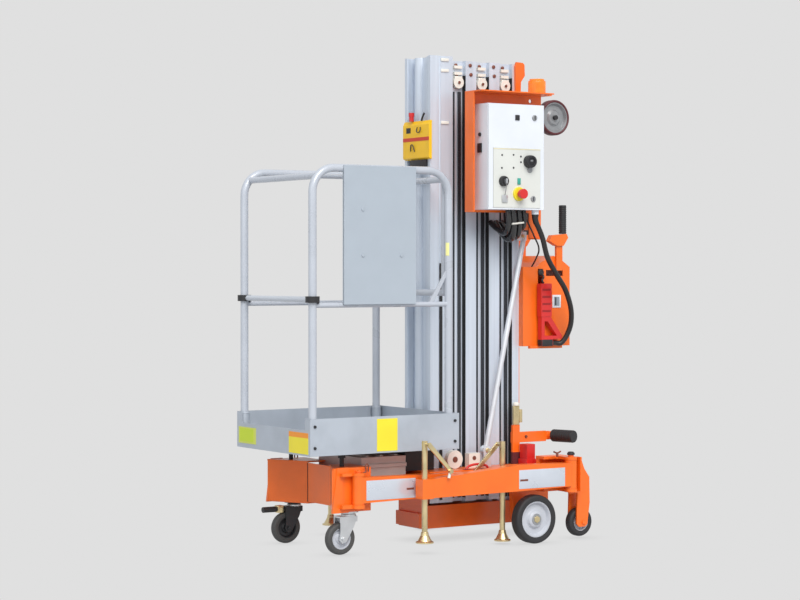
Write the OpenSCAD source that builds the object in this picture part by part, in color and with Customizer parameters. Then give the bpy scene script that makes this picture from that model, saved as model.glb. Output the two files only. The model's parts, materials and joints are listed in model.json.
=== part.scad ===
// Push-around vertical mast lift, parked: platform down, outriggers folded, jacks raised.
// Millimetres. X runs from the platform end (-X) to the push-handle end (+X), Z is up,
// the ground is z = 0. Each module draws with X = 0 at the platform's front edge;
// place() moves it so that the origin is under the middle of the machine.

/* [Platform] */
// Length of the platform tray along X
tray_length = 698; // [600:1:760]
// Width of the platform tray across Y
tray_width = 588; // [500:1:640]
// Height of the tray's underside above the ground
tray_z = 400; // [392:1:420]
// Height of the toe boards
toe_height = 145; // [100:1:160]
// Height of the top tube's centre line of the side hoops
hoop_z = 1520; // [1450:1:1560]
// Radius of the guard rail tube
tube_r = 16; // [13:0.5:19]

/* [Mast] */
// Half width of the mast sections
mast_half = 95; // [88:1:100]
// Depth of one moving section along X
sect_depth = 112; // [108:1:114]
// Distance from one section to the next along X
sect_pitch = 119; // [118:1:122]
// Height of the top of the inner sections
mast_top = 1990; // [1900:5:2100]

/* [Wheels] */
// Radius of the main wheels
main_r = 100; // [90:1:105]
// Radius of the front caster wheels
caster_r = 64; // [55:1:68]
// Radius of the small rear wheels
rear_r = 60; // [50:1:64]
// Radius of the loading wheels at the mast head
load_r = 75; // [60:1:80]

/* [Outriggers] */
// Distance of the outer arms from the middle plane
outer_y = 360; // [355:1:370]
// Distance of the inner arms from the middle plane
inner_y = 290; // [286:1:294]
// Radius of the jack rods
jack_r = 11.5; // [9:0.5:13]

/* [Hidden] */
$fn = 48;
// small overlap that joins shapes of one piece
e = 0.01;
// gap between pieces that rest on each other
touch = 0.3;
wall = 5;

orange = [0.93, 0.38, 0.10];
alu = [0.72, 0.74, 0.77];
grey = [0.66, 0.69, 0.73];
white = [0.93, 0.94, 0.95];
black = [0.08, 0.08, 0.09];
red = [0.80, 0.10, 0.08];
dark = [0.20, 0.20, 0.22];
zinc = [0.75, 0.70, 0.50];
bright = [0.75, 0.76, 0.78];
nylon = [0.95, 0.94, 0.88];
beige = [0.85, 0.85, 0.78];
amber = [0.95, 0.50, 0.10];
yellow = [0.95, 0.72, 0.05];
maroon = [0.35, 0.12, 0.12];
tyre = [0.15, 0.15, 0.15];
tyre_grey = [0.30, 0.30, 0.30];

// Front face of each mast section, from the platform's one to the fixed one
mast4_x = tray_length - 8;
mast3_x = mast4_x + sect_pitch;
mast2_x = mast4_x + 2 * sect_pitch;
mast1_x = mast4_x + 3 * sect_pitch;
mast_back = mast1_x + 94;
bay_depth = 64;
bay_half = mast_half - 23;
lip_half = mast_half - 55;

// Heights of the chassis and of the mast foot
rail_z = 235;
deck_z = 306;
base_z = 56;
base_top = 150;
base_half = mast_half - 5;
sect_z = base_top + 10;

// Wheels and casters
main_x = mast1_x - 14;
main_y = 347;
rear_x = mast_back + 157;
rear_y = 305;
rear_z = 68;
caster_x = 222;
caster_y = 214;
wing_x = caster_x - 97;
wing_back = caster_x + 75;
trail = 40;
load_x = mast_back + 139;
load_y = 147.5;
load_z = mast_top - 223;

// Outrigger hinges and jacks
outer_pin_x = mast_back + 74;
inner_pin_x = caster_x;
pin_r = 12;
outer_low = 2 * main_r + 3;
outer_lugs = [[outer_low, outer_low + 13], [outer_low + 133, outer_low + 145]];
inner_lugs = [[187, 202], [314, 326]];
outer_jack_x = caster_x + 265;
inner_jack_x = outer_pin_x - 299;
rear_plate_x = outer_pin_x + 31;

// Batteries and power unit under the platform
battery_x = caster_x + 90;
battery_back = mast4_x - 166;
cross_x = mast4_x - 90;

// Guard rails of the platform
rail_y = tray_width / 2 - tube_r - 5;
front_post_x = 23;
rear_post_x = tray_length - 38;
bend_r = 95;
mid_rail_z = 985;
loop_r = 28;

// Control station beside the mast
roof_z = mast_top - 140;
station_x = mast3_x - 3;
station_y = mast_half + 89;
bracket_back = mast_back + 45;
box_x = station_x + 29;
box_back = bracket_back - 67;
box_y = station_y + 116;
box_z = roof_z - 480;
gland_x = box_back - 24;
gland_y = station_y + 88;
panel_x = box_x + 27;
panel_back = box_back - 19;
stop_x = panel_x + 126;

// Cover and handles behind the mast
cover_z = box_z - 570;
cover_back = mast_back + 247;
cover_half = 125;
grip_x = cover_back - 44;

// The middle of the machine lies at x = 0 after place()
frame_x = (front_post_x - loop_r + cover_back) / 2;

// Shared shapes
module place() translate([-frame_x, 0, 0]) children();
module both() {
  children();
  mirror([0, 1, 0]) children();
}
module far() mirror([0, 1, 0]) children();
module box(a, b) translate(a) cube([b[0] - a[0], b[1] - a[1], b[2] - a[2]]);
module rod_z(x, y, z0, z1, r) translate([x, y, z0]) cylinder(h = z1 - z0, r = r);
module rod_y(x, z, y0, y1, r) translate([x, y0, z]) rotate([-90, 0, 0]) cylinder(h = y1 - y0, r = r);
module rod_x(y, z, x0, x1, r) translate([x0, y, z]) rotate([0, 90, 0]) cylinder(h = x1 - x0, r = r);
// straight round bar between two points
module bar(p, q, r) {
  d = q - p;
  l = norm(d);
  translate(p) rotate([0, acos(d[2] / l), atan2(d[1], d[0])]) cylinder(h = l, r = r);
}
// upright plate between two points of the ground plan
module plate(p, q, t, z0, z1) {
  d = q - p;
  translate([p[0], p[1], z0]) rotate([0, 0, atan2(d[1], d[0])])
    translate([0, -t / 2, 0]) cube([norm(d), t, z1 - z0]);
}
// side view outline (x, z) extruded across Y
module side(pts, y0, y1) translate([0, y1, 0]) rotate([90, 0, 0]) linear_extrude(y1 - y0) polygon(pts);
// plan outline (x, y) extruded up
module plan(pts, z0, z1) translate([0, 0, z0]) linear_extrude(z1 - z0) polygon(pts);
// disc with a bore, lying across Y
module wheel(x, z, y0, y1, r, bore) difference() {
  rod_y(x, z, y0, y1, r);
  rod_y(x, z, y0 - 1, y1 + 1, bore);
}

// Chassis
module chassis_frame() color(orange) {
  inside = 206;
  both() {
    box([wing_back + 1, -inside - 34, rail_z], [rear_plate_x + 2, -inside + 1, deck_z - 6]);
    // drop plate and stub axle of the main wheel
    side([[main_x - 48, rail_z + 5], [main_x + 48, rail_z + 5], [main_x + 37, 80], [main_x + 17, 62],
      [main_x - 17, 62], [main_x - 37, 80]], -262, -238);
    rod_y(main_x, main_r, -main_y - 25, -250, 12);
    rod_y(main_x, main_r, -main_y + 29, -250, 20);
    // deck strips beside the mast
    box([cross_x - 10, -inside - 36, deck_z - 8], [rear_plate_x + 7, -mast_half - 17, deck_z]);
  }
  // floor under the battery box, and the cross members before and behind the mast
  box([wing_back + 3, -inside, rail_z - 3], [cross_x + 2, inside, rail_z + 3]);
  box([cross_x, -inside, rail_z - 3], [mast4_x - 14, inside, deck_z - 5]);
  box([mast_back + 11, -inside, rail_z + 1], [rear_plate_x + 2, inside, deck_z - 5]);
}

// front wing over a caster, with the hinge lugs and the pin of the inner arm
module front_wing() {
  low = 172;
  high = 345;
  // slanted front with a web above and below, and the upright side
  plate([wing_x - 1, -258], [caster_x - 6, -90], 6, low + 2, high - 2);
  for (z = [low, high - 6])
    plan([[wing_x - 3, -260], [caster_x - 9, -87], [wing_back, -87], [wing_back, -260]], z, z + 6);
  box([wing_x, -261, low + 1], [wing_back, -255, high - 1]);
  side([[wing_x - 7, low - 2], [caster_x - 30, low - 2], [caster_x - 30, low + 24],
    [caster_x - 57, low + 38], [caster_x - 57, high - 39], [caster_x - 30, high - 27],
    [caster_x - 30, high + 2], [wing_x + 15, high + 2]], -266, -254);
  for (z = inner_lugs) {
    box([caster_x - 72, -inner_y + 2, z[0]], [caster_x + 22, -258, z[1]]);
    rod_z(inner_pin_x, -inner_y, z[0], z[1], 26);
  }
  rod_z(inner_pin_x, -inner_y, inner_lugs[0][0] - 5, inner_lugs[1][1] + 6, pin_r);
}
module front_wing_near() color(orange) {
  front_wing();
  // front plate of the chassis between the two wings
  plate([caster_x - 7, -96], [caster_x - 7, 86], 6, 180, 338);
}
module front_wing_far() color(orange) far() front_wing();

// rear wing with the hinge lugs and the pin of the outer arm and the fork of the small wheel
module rear_wing() {
  low = outer_lugs[0][0];
  high = outer_lugs[1][1];
  back = rear_plate_x;
  inside = 242;
  for (z = outer_lugs) {
    box([mast_back - 20, -300, z[0]], [back, -inside, z[1]]);
    box([outer_pin_x - 23, -outer_y, z[0]], [back, -280, z[1]]);
    rod_z(outer_pin_x, -outer_y, z[0], z[1], 27);
  }
  box([mast_back - 18, -262, low + 1], [back, -inside, high - 1]);
  box([back - 1, -outer_y - 26, low + 1], [back + 6, -inside, high - 1]);
  rod_z(outer_pin_x, -outer_y, low - 7, high + 8, pin_r);
  // fork legs, upright above the wheel, with a bridge between them
  for (y = [-rear_y - 32, -rear_y + 24])
    side([[back + 4, high - 8], [rear_x - 14, high - 8], [rear_x + 6, 292], [rear_x + 32, 256],
      [rear_x + 34, 150], [rear_x + 22, 60], [rear_x + 10, 50], [rear_x - 22, 50], [rear_x - 34, 64],
      [rear_x - 30, 196], [back + 4, low]], y, y + 8);
  for (z = [192, high - 18]) box([back + 5, -rear_y - 31, z], [rear_x - 16, -rear_y + 31, z + 9]);
  rod_y(rear_x, rear_z, -rear_y - 38, -rear_y + 37, 8);
}
module rear_wing_near() color(orange) rear_wing();
module rear_wing_far() color(orange) far() rear_wing();

// hollow box on the ground side that carries the mast
module mast_base() color(orange) {
  front = mast4_x - 7;
  back = rear_x + 2;
  half = base_half;
  difference() {
    box([front, -half, base_z], [back, half, base_top]);
    box([front + 6, -half + 6, base_z + 6], [back - 6, half - 6, base_top - wall]);
  }
  box([front - 28, -half, base_z], [front + e, half, base_top]);
  box([front - 43, -half + 2, base_z + 6], [front - 27, half - 2, base_top - 30]);
}
// upright blocks that tie the base to the chassis before and behind the mast
module mast_foot() color(orange) {
  box([mast4_x - 35, -base_half, base_top], [mast4_x - 7, base_half, rail_z - 3]);
  box([mast_back, -base_half, base_top], [rear_x + 2, base_half, rail_z + 1]);
}

module battery_box() color(white) {
  low = rail_z + 3;
  high = tray_z - 28;
  box([battery_x, -165, low], [battery_back, 165, high]);
  both() box([battery_x, -172, high - 42], [battery_back, -165, high - 28]);
  pitch = (battery_back - battery_x - 76) / 2;
  for (k = [0 : 2]) translate([battery_x + 30 + pitch * k, 0, high]) box([0, -150, 0], [16, 150, 6]);
}

// power unit between the battery box and the mast
module power_unit() color(dark)
  box([battery_back + 6, -150, deck_z + touch], [mast4_x - 18, 150, tray_z - 8]);

module rest_buffers() color(black) both() {
  x = caster_x - 22;
  y = -caster_y + 14;
  rod_z(x, y, 345, tray_z - 20, 9);
  rod_z(x, y, tray_z - 20, tray_z - touch, 15);
}

// Mast: every section's front tongue slides between the rear lips of the next one forward
module section_outline(depth) {
  difference() {
    union() {
      translate([0, -bay_half]) square([bay_depth, 2 * bay_half]);
      translate([bay_depth - wall, -mast_half]) square([depth - bay_depth + wall, 2 * mast_half]);
      translate([-28, -30]) square([28 + e, 60]);
      translate([-38, -62]) square([16, 124]);
    }
    translate([wall, wall - bay_half]) square([bay_depth - wall + e, 2 * (bay_half - wall)]);
    translate([bay_depth, wall - mast_half]) square([depth - bay_depth - wall, 2 * (mast_half - wall)]);
    translate([-22 - e, -24]) square([22 - wall, 48]);
  }
}
module section(x, depth, z0, open) translate([x, 0, z0]) linear_extrude(mast_top - z0) difference() {
  section_outline(depth);
  if (open) translate([depth - wall - 1, -lip_half]) square([wall + 2, 2 * lip_half]);
}
module mast_1() color(alu) section(mast1_x, mast_back - mast1_x, base_top, false);
module mast_2() color(alu) section(mast2_x, sect_depth, sect_z, true);
module mast_3() color(alu) section(mast3_x, sect_depth, sect_z, true);
// front section that carries the platform, with two half-round channels in its face
module mast_4() color(alu) translate([mast4_x, 0, sect_z])
    linear_extrude(mast_top + 15 - sect_z) difference() {
  union() {
    for (s = [-1, 1]) scale([1, s]) {
      translate([0, mast_half - 7]) square([sect_depth, 7]);
      translate([0, mast_half - 17]) square([8, 17]);
      translate([sect_depth - wall, lip_half]) square([wall, mast_half - lip_half]);
      translate([44, 44]) circle(r = 24);
    }
    translate([40, -mast_half]) square([6, 2 * mast_half]);
  }
  for (s = [-1, 1]) scale([1, s]) {
    translate([44, 44]) circle(r = 19);
    translate([47, mast_half]) circle(r = 3.5, $fn = 16);
  }
}

// chain pulleys and end stops on both sides of a section, and the slide pads on its tongue
module pulley_set(front, z) both() {
  x = front + 27;
  for (h = [z - 158, z + 2]) box([front - 22, -62, h], [front - 12 - touch, -41, h + 70]);
  rod_y(x, z, -91, -75, 25);
  rod_y(x, z, -94, -bay_half, 7);
  for (h = [z + 32, z + 58]) box([x - 18, -84, h], [x + 22, -bay_half, h + 12]);
}
module pulleys_1() color(nylon) {
  pulley_set(mast1_x, mast_top - 94);
  // guide roller and guide block on the deck beside the platform's section
  both() {
    rod_y(mast4_x + 72, deck_z + 38, -172, -148, 38 - touch);
    box([mast4_x + 140, -175, deck_z + touch], [mast4_x + 195, -145, deck_z + 60]);
  }
}
module pulleys_2() color(nylon) pulley_set(mast2_x, mast_top - 92);
module pulleys_3() color(nylon) pulley_set(mast3_x, mast_top - 90);

// flat fin at the mast head
module mast_fin() color(orange)
  side([[mast_back - 24, roof_z + 6], [mast_back, roof_z + 6], [mast_back + 2, mast_top - 75],
    [mast_back + 22, mast_top - 48], [mast_back + 20, mast_top - 2], [mast_back + 12, mast_top + 6],
    [mast_back - 20, mast_top + 8], [mast_back - 26, mast_top - 10]], -mast_half - 12, -mast_half - touch);

// sloping strut from the deck to the mast
module brace() {
  foot = [mast2_x + 2, -mast_half - 55, deck_z + 68];
  head = [mast_back + 9, -mast_half - 23, box_z - 108];
  bar(foot, head, 11);
  rod_y(foot[0], foot[2], foot[1] - 12, foot[1] + 12, 20);
  for (y = [foot[1] - 15, foot[1] + 9]) box([foot[0] - 18, y, deck_z], [foot[0] + 18, y + 6, foot[2] + 10]);
  box([head[0] - 38, head[1] - 6, head[2] - 16], [head[0] + 10, -mast_half - touch, head[2] + 22]);
}
module brace_near() color(alu) brace();
module brace_far() color(alu) far() brace_near();

// Control station on the mast side
module control_bracket() color(orange) {
  right = bracket_back;
  split = right - 61;
  low = box_z - 120;
  difference() {
    union() {
      box([station_x, -station_y - 6, box_z - 10], [split + e, -station_y, roof_z]);
      box([split, -station_y - 6, low], [right, -station_y, roof_z]);
    }
    rod_y(split + 5, roof_z - 22, -station_y - 7, -station_y + 1, 8);
  }
  box([station_x - 4, -station_y - 62, box_z - 10], [station_x + 2, -station_y, roof_z]);
  box([station_x - 4, -box_y, roof_z], [right - 14, -station_y, roof_z + 5]);
  box([split - 25, -station_y - 56, roof_z], [right + 19, -mast_half - touch, roof_z + 5]);
  box([split, -station_y - 28, low], [right, -station_y - 5, low + 5]);
  for (z = [low + 40, box_z + 190, roof_z - 70])
    box([split - 25, -station_y, z], [split + 25, -mast_half - touch, z + 40]);
}
module control_box() color(white) {
  difference() {
    box([box_x, -box_y, box_z], [box_back, -station_y - 6, roof_z - 48]);
    box([panel_x - 1, -box_y - 1, box_z + 6], [panel_back + 1, -box_y + 3, box_z + 250]);
  }
  rod_z(gland_x, -gland_y, box_z - 18, box_z, 15);
}
// sunk panel with a meter, a key switch and the raised base of the stop button
module control_panel() color(beige) {
  face = -box_y - 1.5;
  box([panel_x, face, box_z + 7], [panel_back, -box_y + 3, box_z + 249]);
  rod_y(panel_x + 177, box_z + 198, face - 20, face + e, 25);
  rod_y(panel_x + 48, box_z + 115, face - 12, face + e, 20);
  rod_y(stop_x, box_z + 64, face - 8, face + e, 27);
}
module stop_button() color(red) {
  face = -box_y - 9.5;
  rod_y(stop_x, box_z + 64, face - 17, face, 12);
  rod_y(stop_x, box_z + 64, face - 31, face - 16, 20);
}
module beacon() color(amber) {
  x = bracket_back - 29;
  y = -station_y - 16;
  low = roof_z + 5;
  rod_z(x, y, low, low + 7, 42);
  rod_z(x, y, low + 7, low + 57, 36);
  rod_z(x, y, low + 57, low + 65, 31);
}

// Rear of the mast
module rear_cover() color(orange) {
  front = mast_back + touch;
  top = cover_z + 335;
  difference() {
    side([[front, cover_z], [cover_back, cover_z], [cover_back, top], [cover_back - 48, top + 33],
      [cover_back - 87, top + 48], [cover_back - 152, top + 20], [cover_back - 176, top], [front, top]],
      -cover_half, cover_half);
    side([[front + 6, cover_z + 6], [cover_back - 6, cover_z + 6], [cover_back - 6, top - 6],
      [cover_back - 52, top + 14], [cover_back - 146, top - 6], [front + 6, top - 6]],
      -cover_half + 6, cover_half - 6);
    both() {
      box([cover_back - 169, -cover_half - 1, top - 85], [cover_back - 142, -cover_half + 7, top - 8]);
      box([cover_back - 126, -cover_half - 1, top - 38], [cover_back - 36, -cover_half + 7, top - 13]);
    }
  }
  both()
    box([cover_back - 216, -cover_half - 8, cover_z - 10], [cover_back - 46, -cover_half + 6, cover_z + 2]);
}
module upper_handle() color(orange) both() {
  outer = -cover_half - 12.3;
  box([cover_back - 80, outer, cover_z + 320], [cover_back - 48, -cover_half - touch, cover_z + 440]);
  side([[cover_back - 122, cover_z + 445], [cover_back - 108, cover_z + 470],
    [cover_back - 32, cover_z + 476], [cover_back - 24, cover_z + 460],
    [cover_back - 48, cover_z + 425], [cover_back - 84, cover_z + 425]], outer - 9, -cover_half + 7);
}
module upper_grips() color(black) both()
  rod_z(grip_x, -cover_half - 7, cover_z + 476 + touch, cover_z + 598, 15);

// push handles beside the mast at the height of the deck
handle_z = deck_z + 114;
handle_x = mast_back - 59;
module low_handles() color(orange) both() {
  inner = -mast_half - 23;
  bend = handle_x + 190;
  box([handle_x, inner - 16, deck_z], [handle_x + 36, inner - 4, handle_z + 50]);
  box([handle_x, inner - 16, handle_z - 24], [bend - 16, inner, handle_z + 20]);
  box([bend - 20, inner - 16, handle_z - 18], [bend + 6, inner, handle_z + 18]);
  bar([bend, inner, handle_z], [bend + 10, inner - 32, handle_z], 18);
}
module low_grips() color(black) both()
  bar([handle_x + 200.1, -mast_half - 55.3, handle_z], [handle_x + 232, -mast_half - 157, handle_z], 25);

module loading_bracket() color(dark) {
  low = load_z - 67;
  high = load_z + 53;
  front = mast_back + touch;
  both() side([[front, low], [front + 75, low], [load_x + 22, load_z - 21], [load_x + 22, load_z + 21],
    [front + 75, high], [front, high]], -bay_half, -bay_half + 8);
  rod_y(load_x, load_z, -load_y - 24.5, load_y + 24.5, 10);
  box([front, -bay_half, low], [front + 6, bay_half, high]);
}
// loading wheel with its hub, its face sunk on both sides
module loading_wheel_near() {
  color(maroon) difference() {
    rod_y(load_x, load_z, -load_y - 17.5, -load_y + 17.5, load_r);
    rod_y(load_x, load_z, -load_y - 19, -load_y - 10.5, load_r - 17);
    rod_y(load_x, load_z, -load_y + 10.5, -load_y + 19, load_r - 17);
    rod_y(load_x, load_z, -load_y - 19, -load_y + 19, 22);
  }
  color(grey) wheel(load_x, load_z, -load_y - 19.5, -load_y + 19.5, 22 + e, 10.5);
}
module loading_wheel_far() far() loading_wheel_near();

// Battery connection
module battery_socket() color(red) {
  x = mast_back - 35;
  box([x, -200, deck_z], [x + 54, -140, deck_z + 24]);
  box([x + 5, -196, deck_z + 24 - e], [x + 46, -144, deck_z + 86]);
}
plug_x = cover_back - 179;
plug_z = cover_z + 30;
strap_x = plug_x + 61;
module battery_plug() color(red) {
  near = -cover_half - 38;
  box([plug_x, near, plug_z + 95], [plug_x + 55, -cover_half - 8 - touch, plug_z + 235]);
  // triangular pull handle
  difference() {
    side([[plug_x + 3, plug_z + 100], [plug_x + 47, plug_z + 100], [plug_x + 110, plug_z + 16],
      [plug_x + 110, plug_z], [plug_x + 3, plug_z]], near + 2, near + 28);
    side([[plug_x + 19, plug_z + 75], [plug_x + 35, plug_z + 75], [plug_x + 84, plug_z + 14],
      [plug_x + 19, plug_z + 14]], near + 1, near + 29);
  }
  box([plug_x + 3, near - 1, plug_z - 29], [strap_x, near + 29, plug_z + e]);
}

// cable from the gland of the control box to the plug: x and y places with the share of the drop
cable_r = 11;
cable_top = box_z - 18 - touch;
cable_end = plug_z - 17;
cable_places = [[gland_x, gland_y, 0], [gland_x, gland_y, 0.015], [gland_x, gland_y, 0.03],
  [gland_x + 6, gland_y, 0.065], [gland_x + 21, gland_y - 1, 0.11], [gland_x + 44, gland_y - 5, 0.19],
  [gland_x + 75, gland_y - 14, 0.33], [cover_back - 161, gland_y - 28, 0.46],
  [cover_back - 102, gland_y - 44, 0.58], [cover_back - 58, gland_y - 64, 0.72],
  [cover_back - 41, gland_y - 84, 0.84], [cover_back - 49, gland_y - 102, 0.94],
  [cover_back - 70, gland_y - 115, 1.0], [strap_x + 26, gland_y - 123, 1.0],
  [strap_x + 13, gland_y - 123, 1.0], [strap_x + touch, gland_y - 123, 1.0]];
cable_route = [for (p = cable_places) [p[0], -p[1], cable_top + p[2] * (cable_end - cable_top)]];
// smooth curve through the points of a, with n steps between neighbours
function between(p0, p1, p2, p3, t) = 0.5 * ((2 * p1) + (p2 - p0) * t
  + (2 * p0 - 5 * p1 + 4 * p2 - p3) * t * t + (3 * p1 - p0 - 3 * p2 + p3) * t * t * t);
function pick(a, i) = a[max(0, min(len(a) - 1, i))];
function smooth_line(a, n) = [for (i = [0 : len(a) - 2]) for (k = [0 : n - 1])
  between(pick(a, i - 1), a[i], a[i + 1], pick(a, i + 2), k / n), a[len(a) - 1]];
function unit(v) = v / norm(v);
function ring(p, t, r, n) = let (u = unit(cross(t, [0, 1, 0])), w = unit(cross(t, u)))
  [for (i = [0 : n - 1]) p + r * (u * cos(360 * i / n) + w * sin(360 * i / n))];
module cord(route, r, n) {
  m = len(route);
  rings = [for (i = [0 : m - 1]) ring(route[i], unit(pick(route, i + 1) - pick(route, i - 1)), r, n)];
  pts = [for (q = rings) for (p = q) p];
  caps = [[for (i = [0 : n - 1]) i], [for (i = [n - 1 : -1 : 0]) (m - 1) * n + i]];
  faces = [for (j = [0 : m - 2]) for (i = [0 : n - 1])
    [j * n + i, (j + 1) * n + i, (j + 1) * n + (i + 1) % n, j * n + (i + 1) % n]];
  polyhedron(points = pts, faces = concat(caps, faces));
}
module plug_cable() color(black) cord(smooth_line(cable_route, 3), cable_r, 10);

// Platform
module platform_tray() color(grey) {
  w = tray_width / 2;
  sheet = 4;
  floor_z = tray_z + 8;
  top = tray_z + toe_height;
  box([0, -w, tray_z], [mast4_x, w, floor_z]);
  both() {
    box([0, -w, tray_z], [tray_length, -w + sheet, top]);
    // corner upright beside the low sill of the entry
    box([0, -w, tray_z], [sheet, -w + 40, top]);
    // sockets of the hoop posts
    for (x = [front_post_x, rear_post_x]) difference() {
      rod_z(x, -rail_y, floor_z - 1, top - 10, tube_r + 4);
      rod_z(x, -rail_y, floor_z, top, tube_r + touch);
    }
  }
  box([0, -w, tray_z], [sheet, w, tray_z + 100]);
  box([mast4_x - 6, -w, tray_z], [mast4_x, w, top]);
}
module bend(x, z, a) translate([x, 0, z]) rotate([90, 0, 0]) rotate([0, 0, a])
  rotate_extrude(angle = 90) translate([bend_r, 0]) circle(r = tube_r);
// side hoop with its middle rail and a flat diagonal stay
module hoop() {
  y = -rail_y;
  left = front_post_x + bend_r;
  right = rear_post_x - bend_r;
  for (x = [front_post_x, rear_post_x]) rod_z(x, y, tray_z + 8 + touch, hoop_z - bend_r, tube_r);
  translate([0, y, 0]) {
    bend(left, hoop_z - bend_r, 90);
    bend(right, hoop_z - bend_r, 0);
  }
  rod_x(y, hoop_z, left, right, tube_r);
  rod_x(y, mid_rail_z, front_post_x, rear_post_x, 10);
  side([[rear_post_x - 100, mid_rail_z], [rear_post_x - 78, mid_rail_z],
    [rear_post_x + 2, mid_rail_z + 137], [rear_post_x + 2, mid_rail_z + 161]], y - 4, y + 4);
}
module hoop_near() color(grey) hoop();
module hoop_far() far() hoop_near();
// rail across the front bends, and the guard across the rear with its uprights beside the posts
module cross_rails() color(grey) {
  r = tube_r - 3;
  top = hoop_z - 32;
  bottom = mid_rail_z + 45;
  reach = rail_y - tube_r - touch;
  // place on the bend at the height of the rail
  front = front_post_x + bend_r - sqrt(bend_r * bend_r - pow(top - hoop_z + bend_r, 2));
  rod_y(front, top, -reach, reach, r);
  for (z = [top, bottom]) rod_y(rear_post_x, z, -reach + r, reach - r, r);
  both() {
    rod_z(rear_post_x, -reach + r, bottom, top, r);
    for (z = [top, bottom]) translate([rear_post_x, -reach + r, z]) sphere(r = r);
  }
}
module side_panel() color(grey) {
  near = -rail_y - tube_r - 5;
  low = mid_rail_z + 2;
  left = front_post_x + 131;
  box([left, near, low], [left + 336, near + 5, hoop_z + 11]);
  for (p = [[86, 373], [86, 193], [266, 193]]) rod_y(left + p[0], low + p[1], near - 3, near + e, 7);
}
// drop bar of the entry, with a rubber loop round each front post
module entry_bar() {
  z = mid_rail_z + 23;
  color(grey) rod_y(front_post_x, z, -rail_y + loop_r - 2, rail_y - loop_r + 2, 11);
  color(black) both() difference() {
    rod_z(front_post_x, -rail_y, z - 12.7, z + 12, loop_r);
    rod_z(front_post_x, -rail_y, z - 18, z + 22, tube_r + 1.5);
  }
}
control_z = hoop_z + 58;
module platform_control() color(yellow) {
  front = mast4_x - 14;
  side([[front, control_z + 7], [mast4_x - touch, control_z], [mast4_x - touch, control_z + 160],
    [mast4_x - 6, control_z + 160], [front, control_z + 144]], -mast_half - 13, mast_half - 7);
}
module platform_stop() color(red) {
  rod_z(mast4_x - 13, 25, control_z + 160, control_z + 180, 10);
  rod_z(mast4_x - 13, 25, control_z + 180, control_z + 196, 12);
}

// Running gear
module caster_fork() {
  top = 172;
  crown = 152;
  rod_z(caster_x, -caster_y, top - 6, top, 40);
  rod_z(caster_x, -caster_y, crown - 2, top - 6 + e, 26);
  difference() {
    box([caster_x - 52, -caster_y - 26, crown - 22], [caster_x + 26, -caster_y + 26, crown]);
    box([caster_x - 90, -caster_y - 20, crown - 32], [caster_x + 90, -caster_y + 20, crown - 6]);
  }
  for (y = [-caster_y - 26, -caster_y + 20])
    side([[caster_x - 52, crown - 2], [caster_x + 26, crown - 2], [caster_x + 10, 110],
      [caster_x - trail + 16, 52], [caster_x - trail - 4, 46], [caster_x - trail - 16, 60],
      [caster_x - trail - 12, 90]], y, y + 6);
  rod_y(caster_x - trail, caster_r, -caster_y - 28, -caster_y + 28, 6);
}
module caster_fork_near() color(bright) caster_fork();
// the far caster has a brake lever
module caster_fork_far() color(dark) far() {
  caster_fork();
  rod_x(-caster_y, 142, caster_x - 148, caster_x - 62, 11);
  box([caster_x - 82, -caster_y - 12, 130], [caster_x - 50, -caster_y + 12, 152]);
}
module caster_wheel_near() color(tyre_grey)
  wheel(caster_x - trail, caster_r, -caster_y - 16, -caster_y + 16, caster_r, 6.5);
module caster_wheel_far() far() caster_wheel_near();
module main_wheel_near() color(tyre) difference() {
  wheel(main_x, main_r, -main_y - 24, -main_y + 24, main_r, pin_r + 0.5);
  rod_y(main_x, main_r, -main_y - 28, -main_y - 5, 0.7 * main_r);
}
module main_wheel_far() far() main_wheel_near();
module rear_wheel_near() color(tyre) wheel(rear_x, rear_z, -rear_y - 19, -rear_y + 19, rear_r, 8.5);
module rear_wheel_far() far() rear_wheel_near();

// Outriggers
module outer_arm() color(orange) {
  low = outer_lugs[0][1];
  high = outer_lugs[1][0];
  difference() {
    union() {
      side([[outer_jack_x + 13, low + 3], [outer_pin_x - 285, low + 6], [outer_pin_x - 15, low + 12],
        [outer_pin_x - 15, high - 12], [outer_pin_x - 285, high - 7], [outer_jack_x + 13, high - 43]],
        -outer_y - 25, -outer_y + 25);
      box([outer_jack_x - 26, -outer_y - 26, low], [outer_jack_x + 26, -outer_y + 26, high - 42]);
      rod_z(outer_pin_x, -outer_y, low + 0.5, high - 0.5, 25);
    }
    rod_z(outer_pin_x, -outer_y, low - 16, high + 16, pin_r + touch);
    rod_z(outer_jack_x, -outer_y, low - 16, high, jack_r + 0.5);
  }
}
module inner_arm() color(orange) {
  low = inner_lugs[0][1];
  high = inner_lugs[1][0];
  difference() {
    union() {
      side([[inner_pin_x + 4, low + 6], [inner_jack_x - 16, low + 20], [inner_jack_x - 16, high - 12],
        [inner_pin_x + 4, high - 5]], -inner_y - 23, -inner_y + 23);
      box([inner_jack_x - 26, -inner_y - 24, low + 16], [inner_jack_x + 26, -inner_y + 24, high - 8]);
      rod_z(inner_pin_x, -inner_y, low + 0.5, high - 0.5, 24);
    }
    rod_z(inner_pin_x, -inner_y, low - 2, high + 2, pin_r + touch);
    rod_z(inner_jack_x, -inner_y, low, high, jack_r + 0.5);
  }
}
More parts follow.
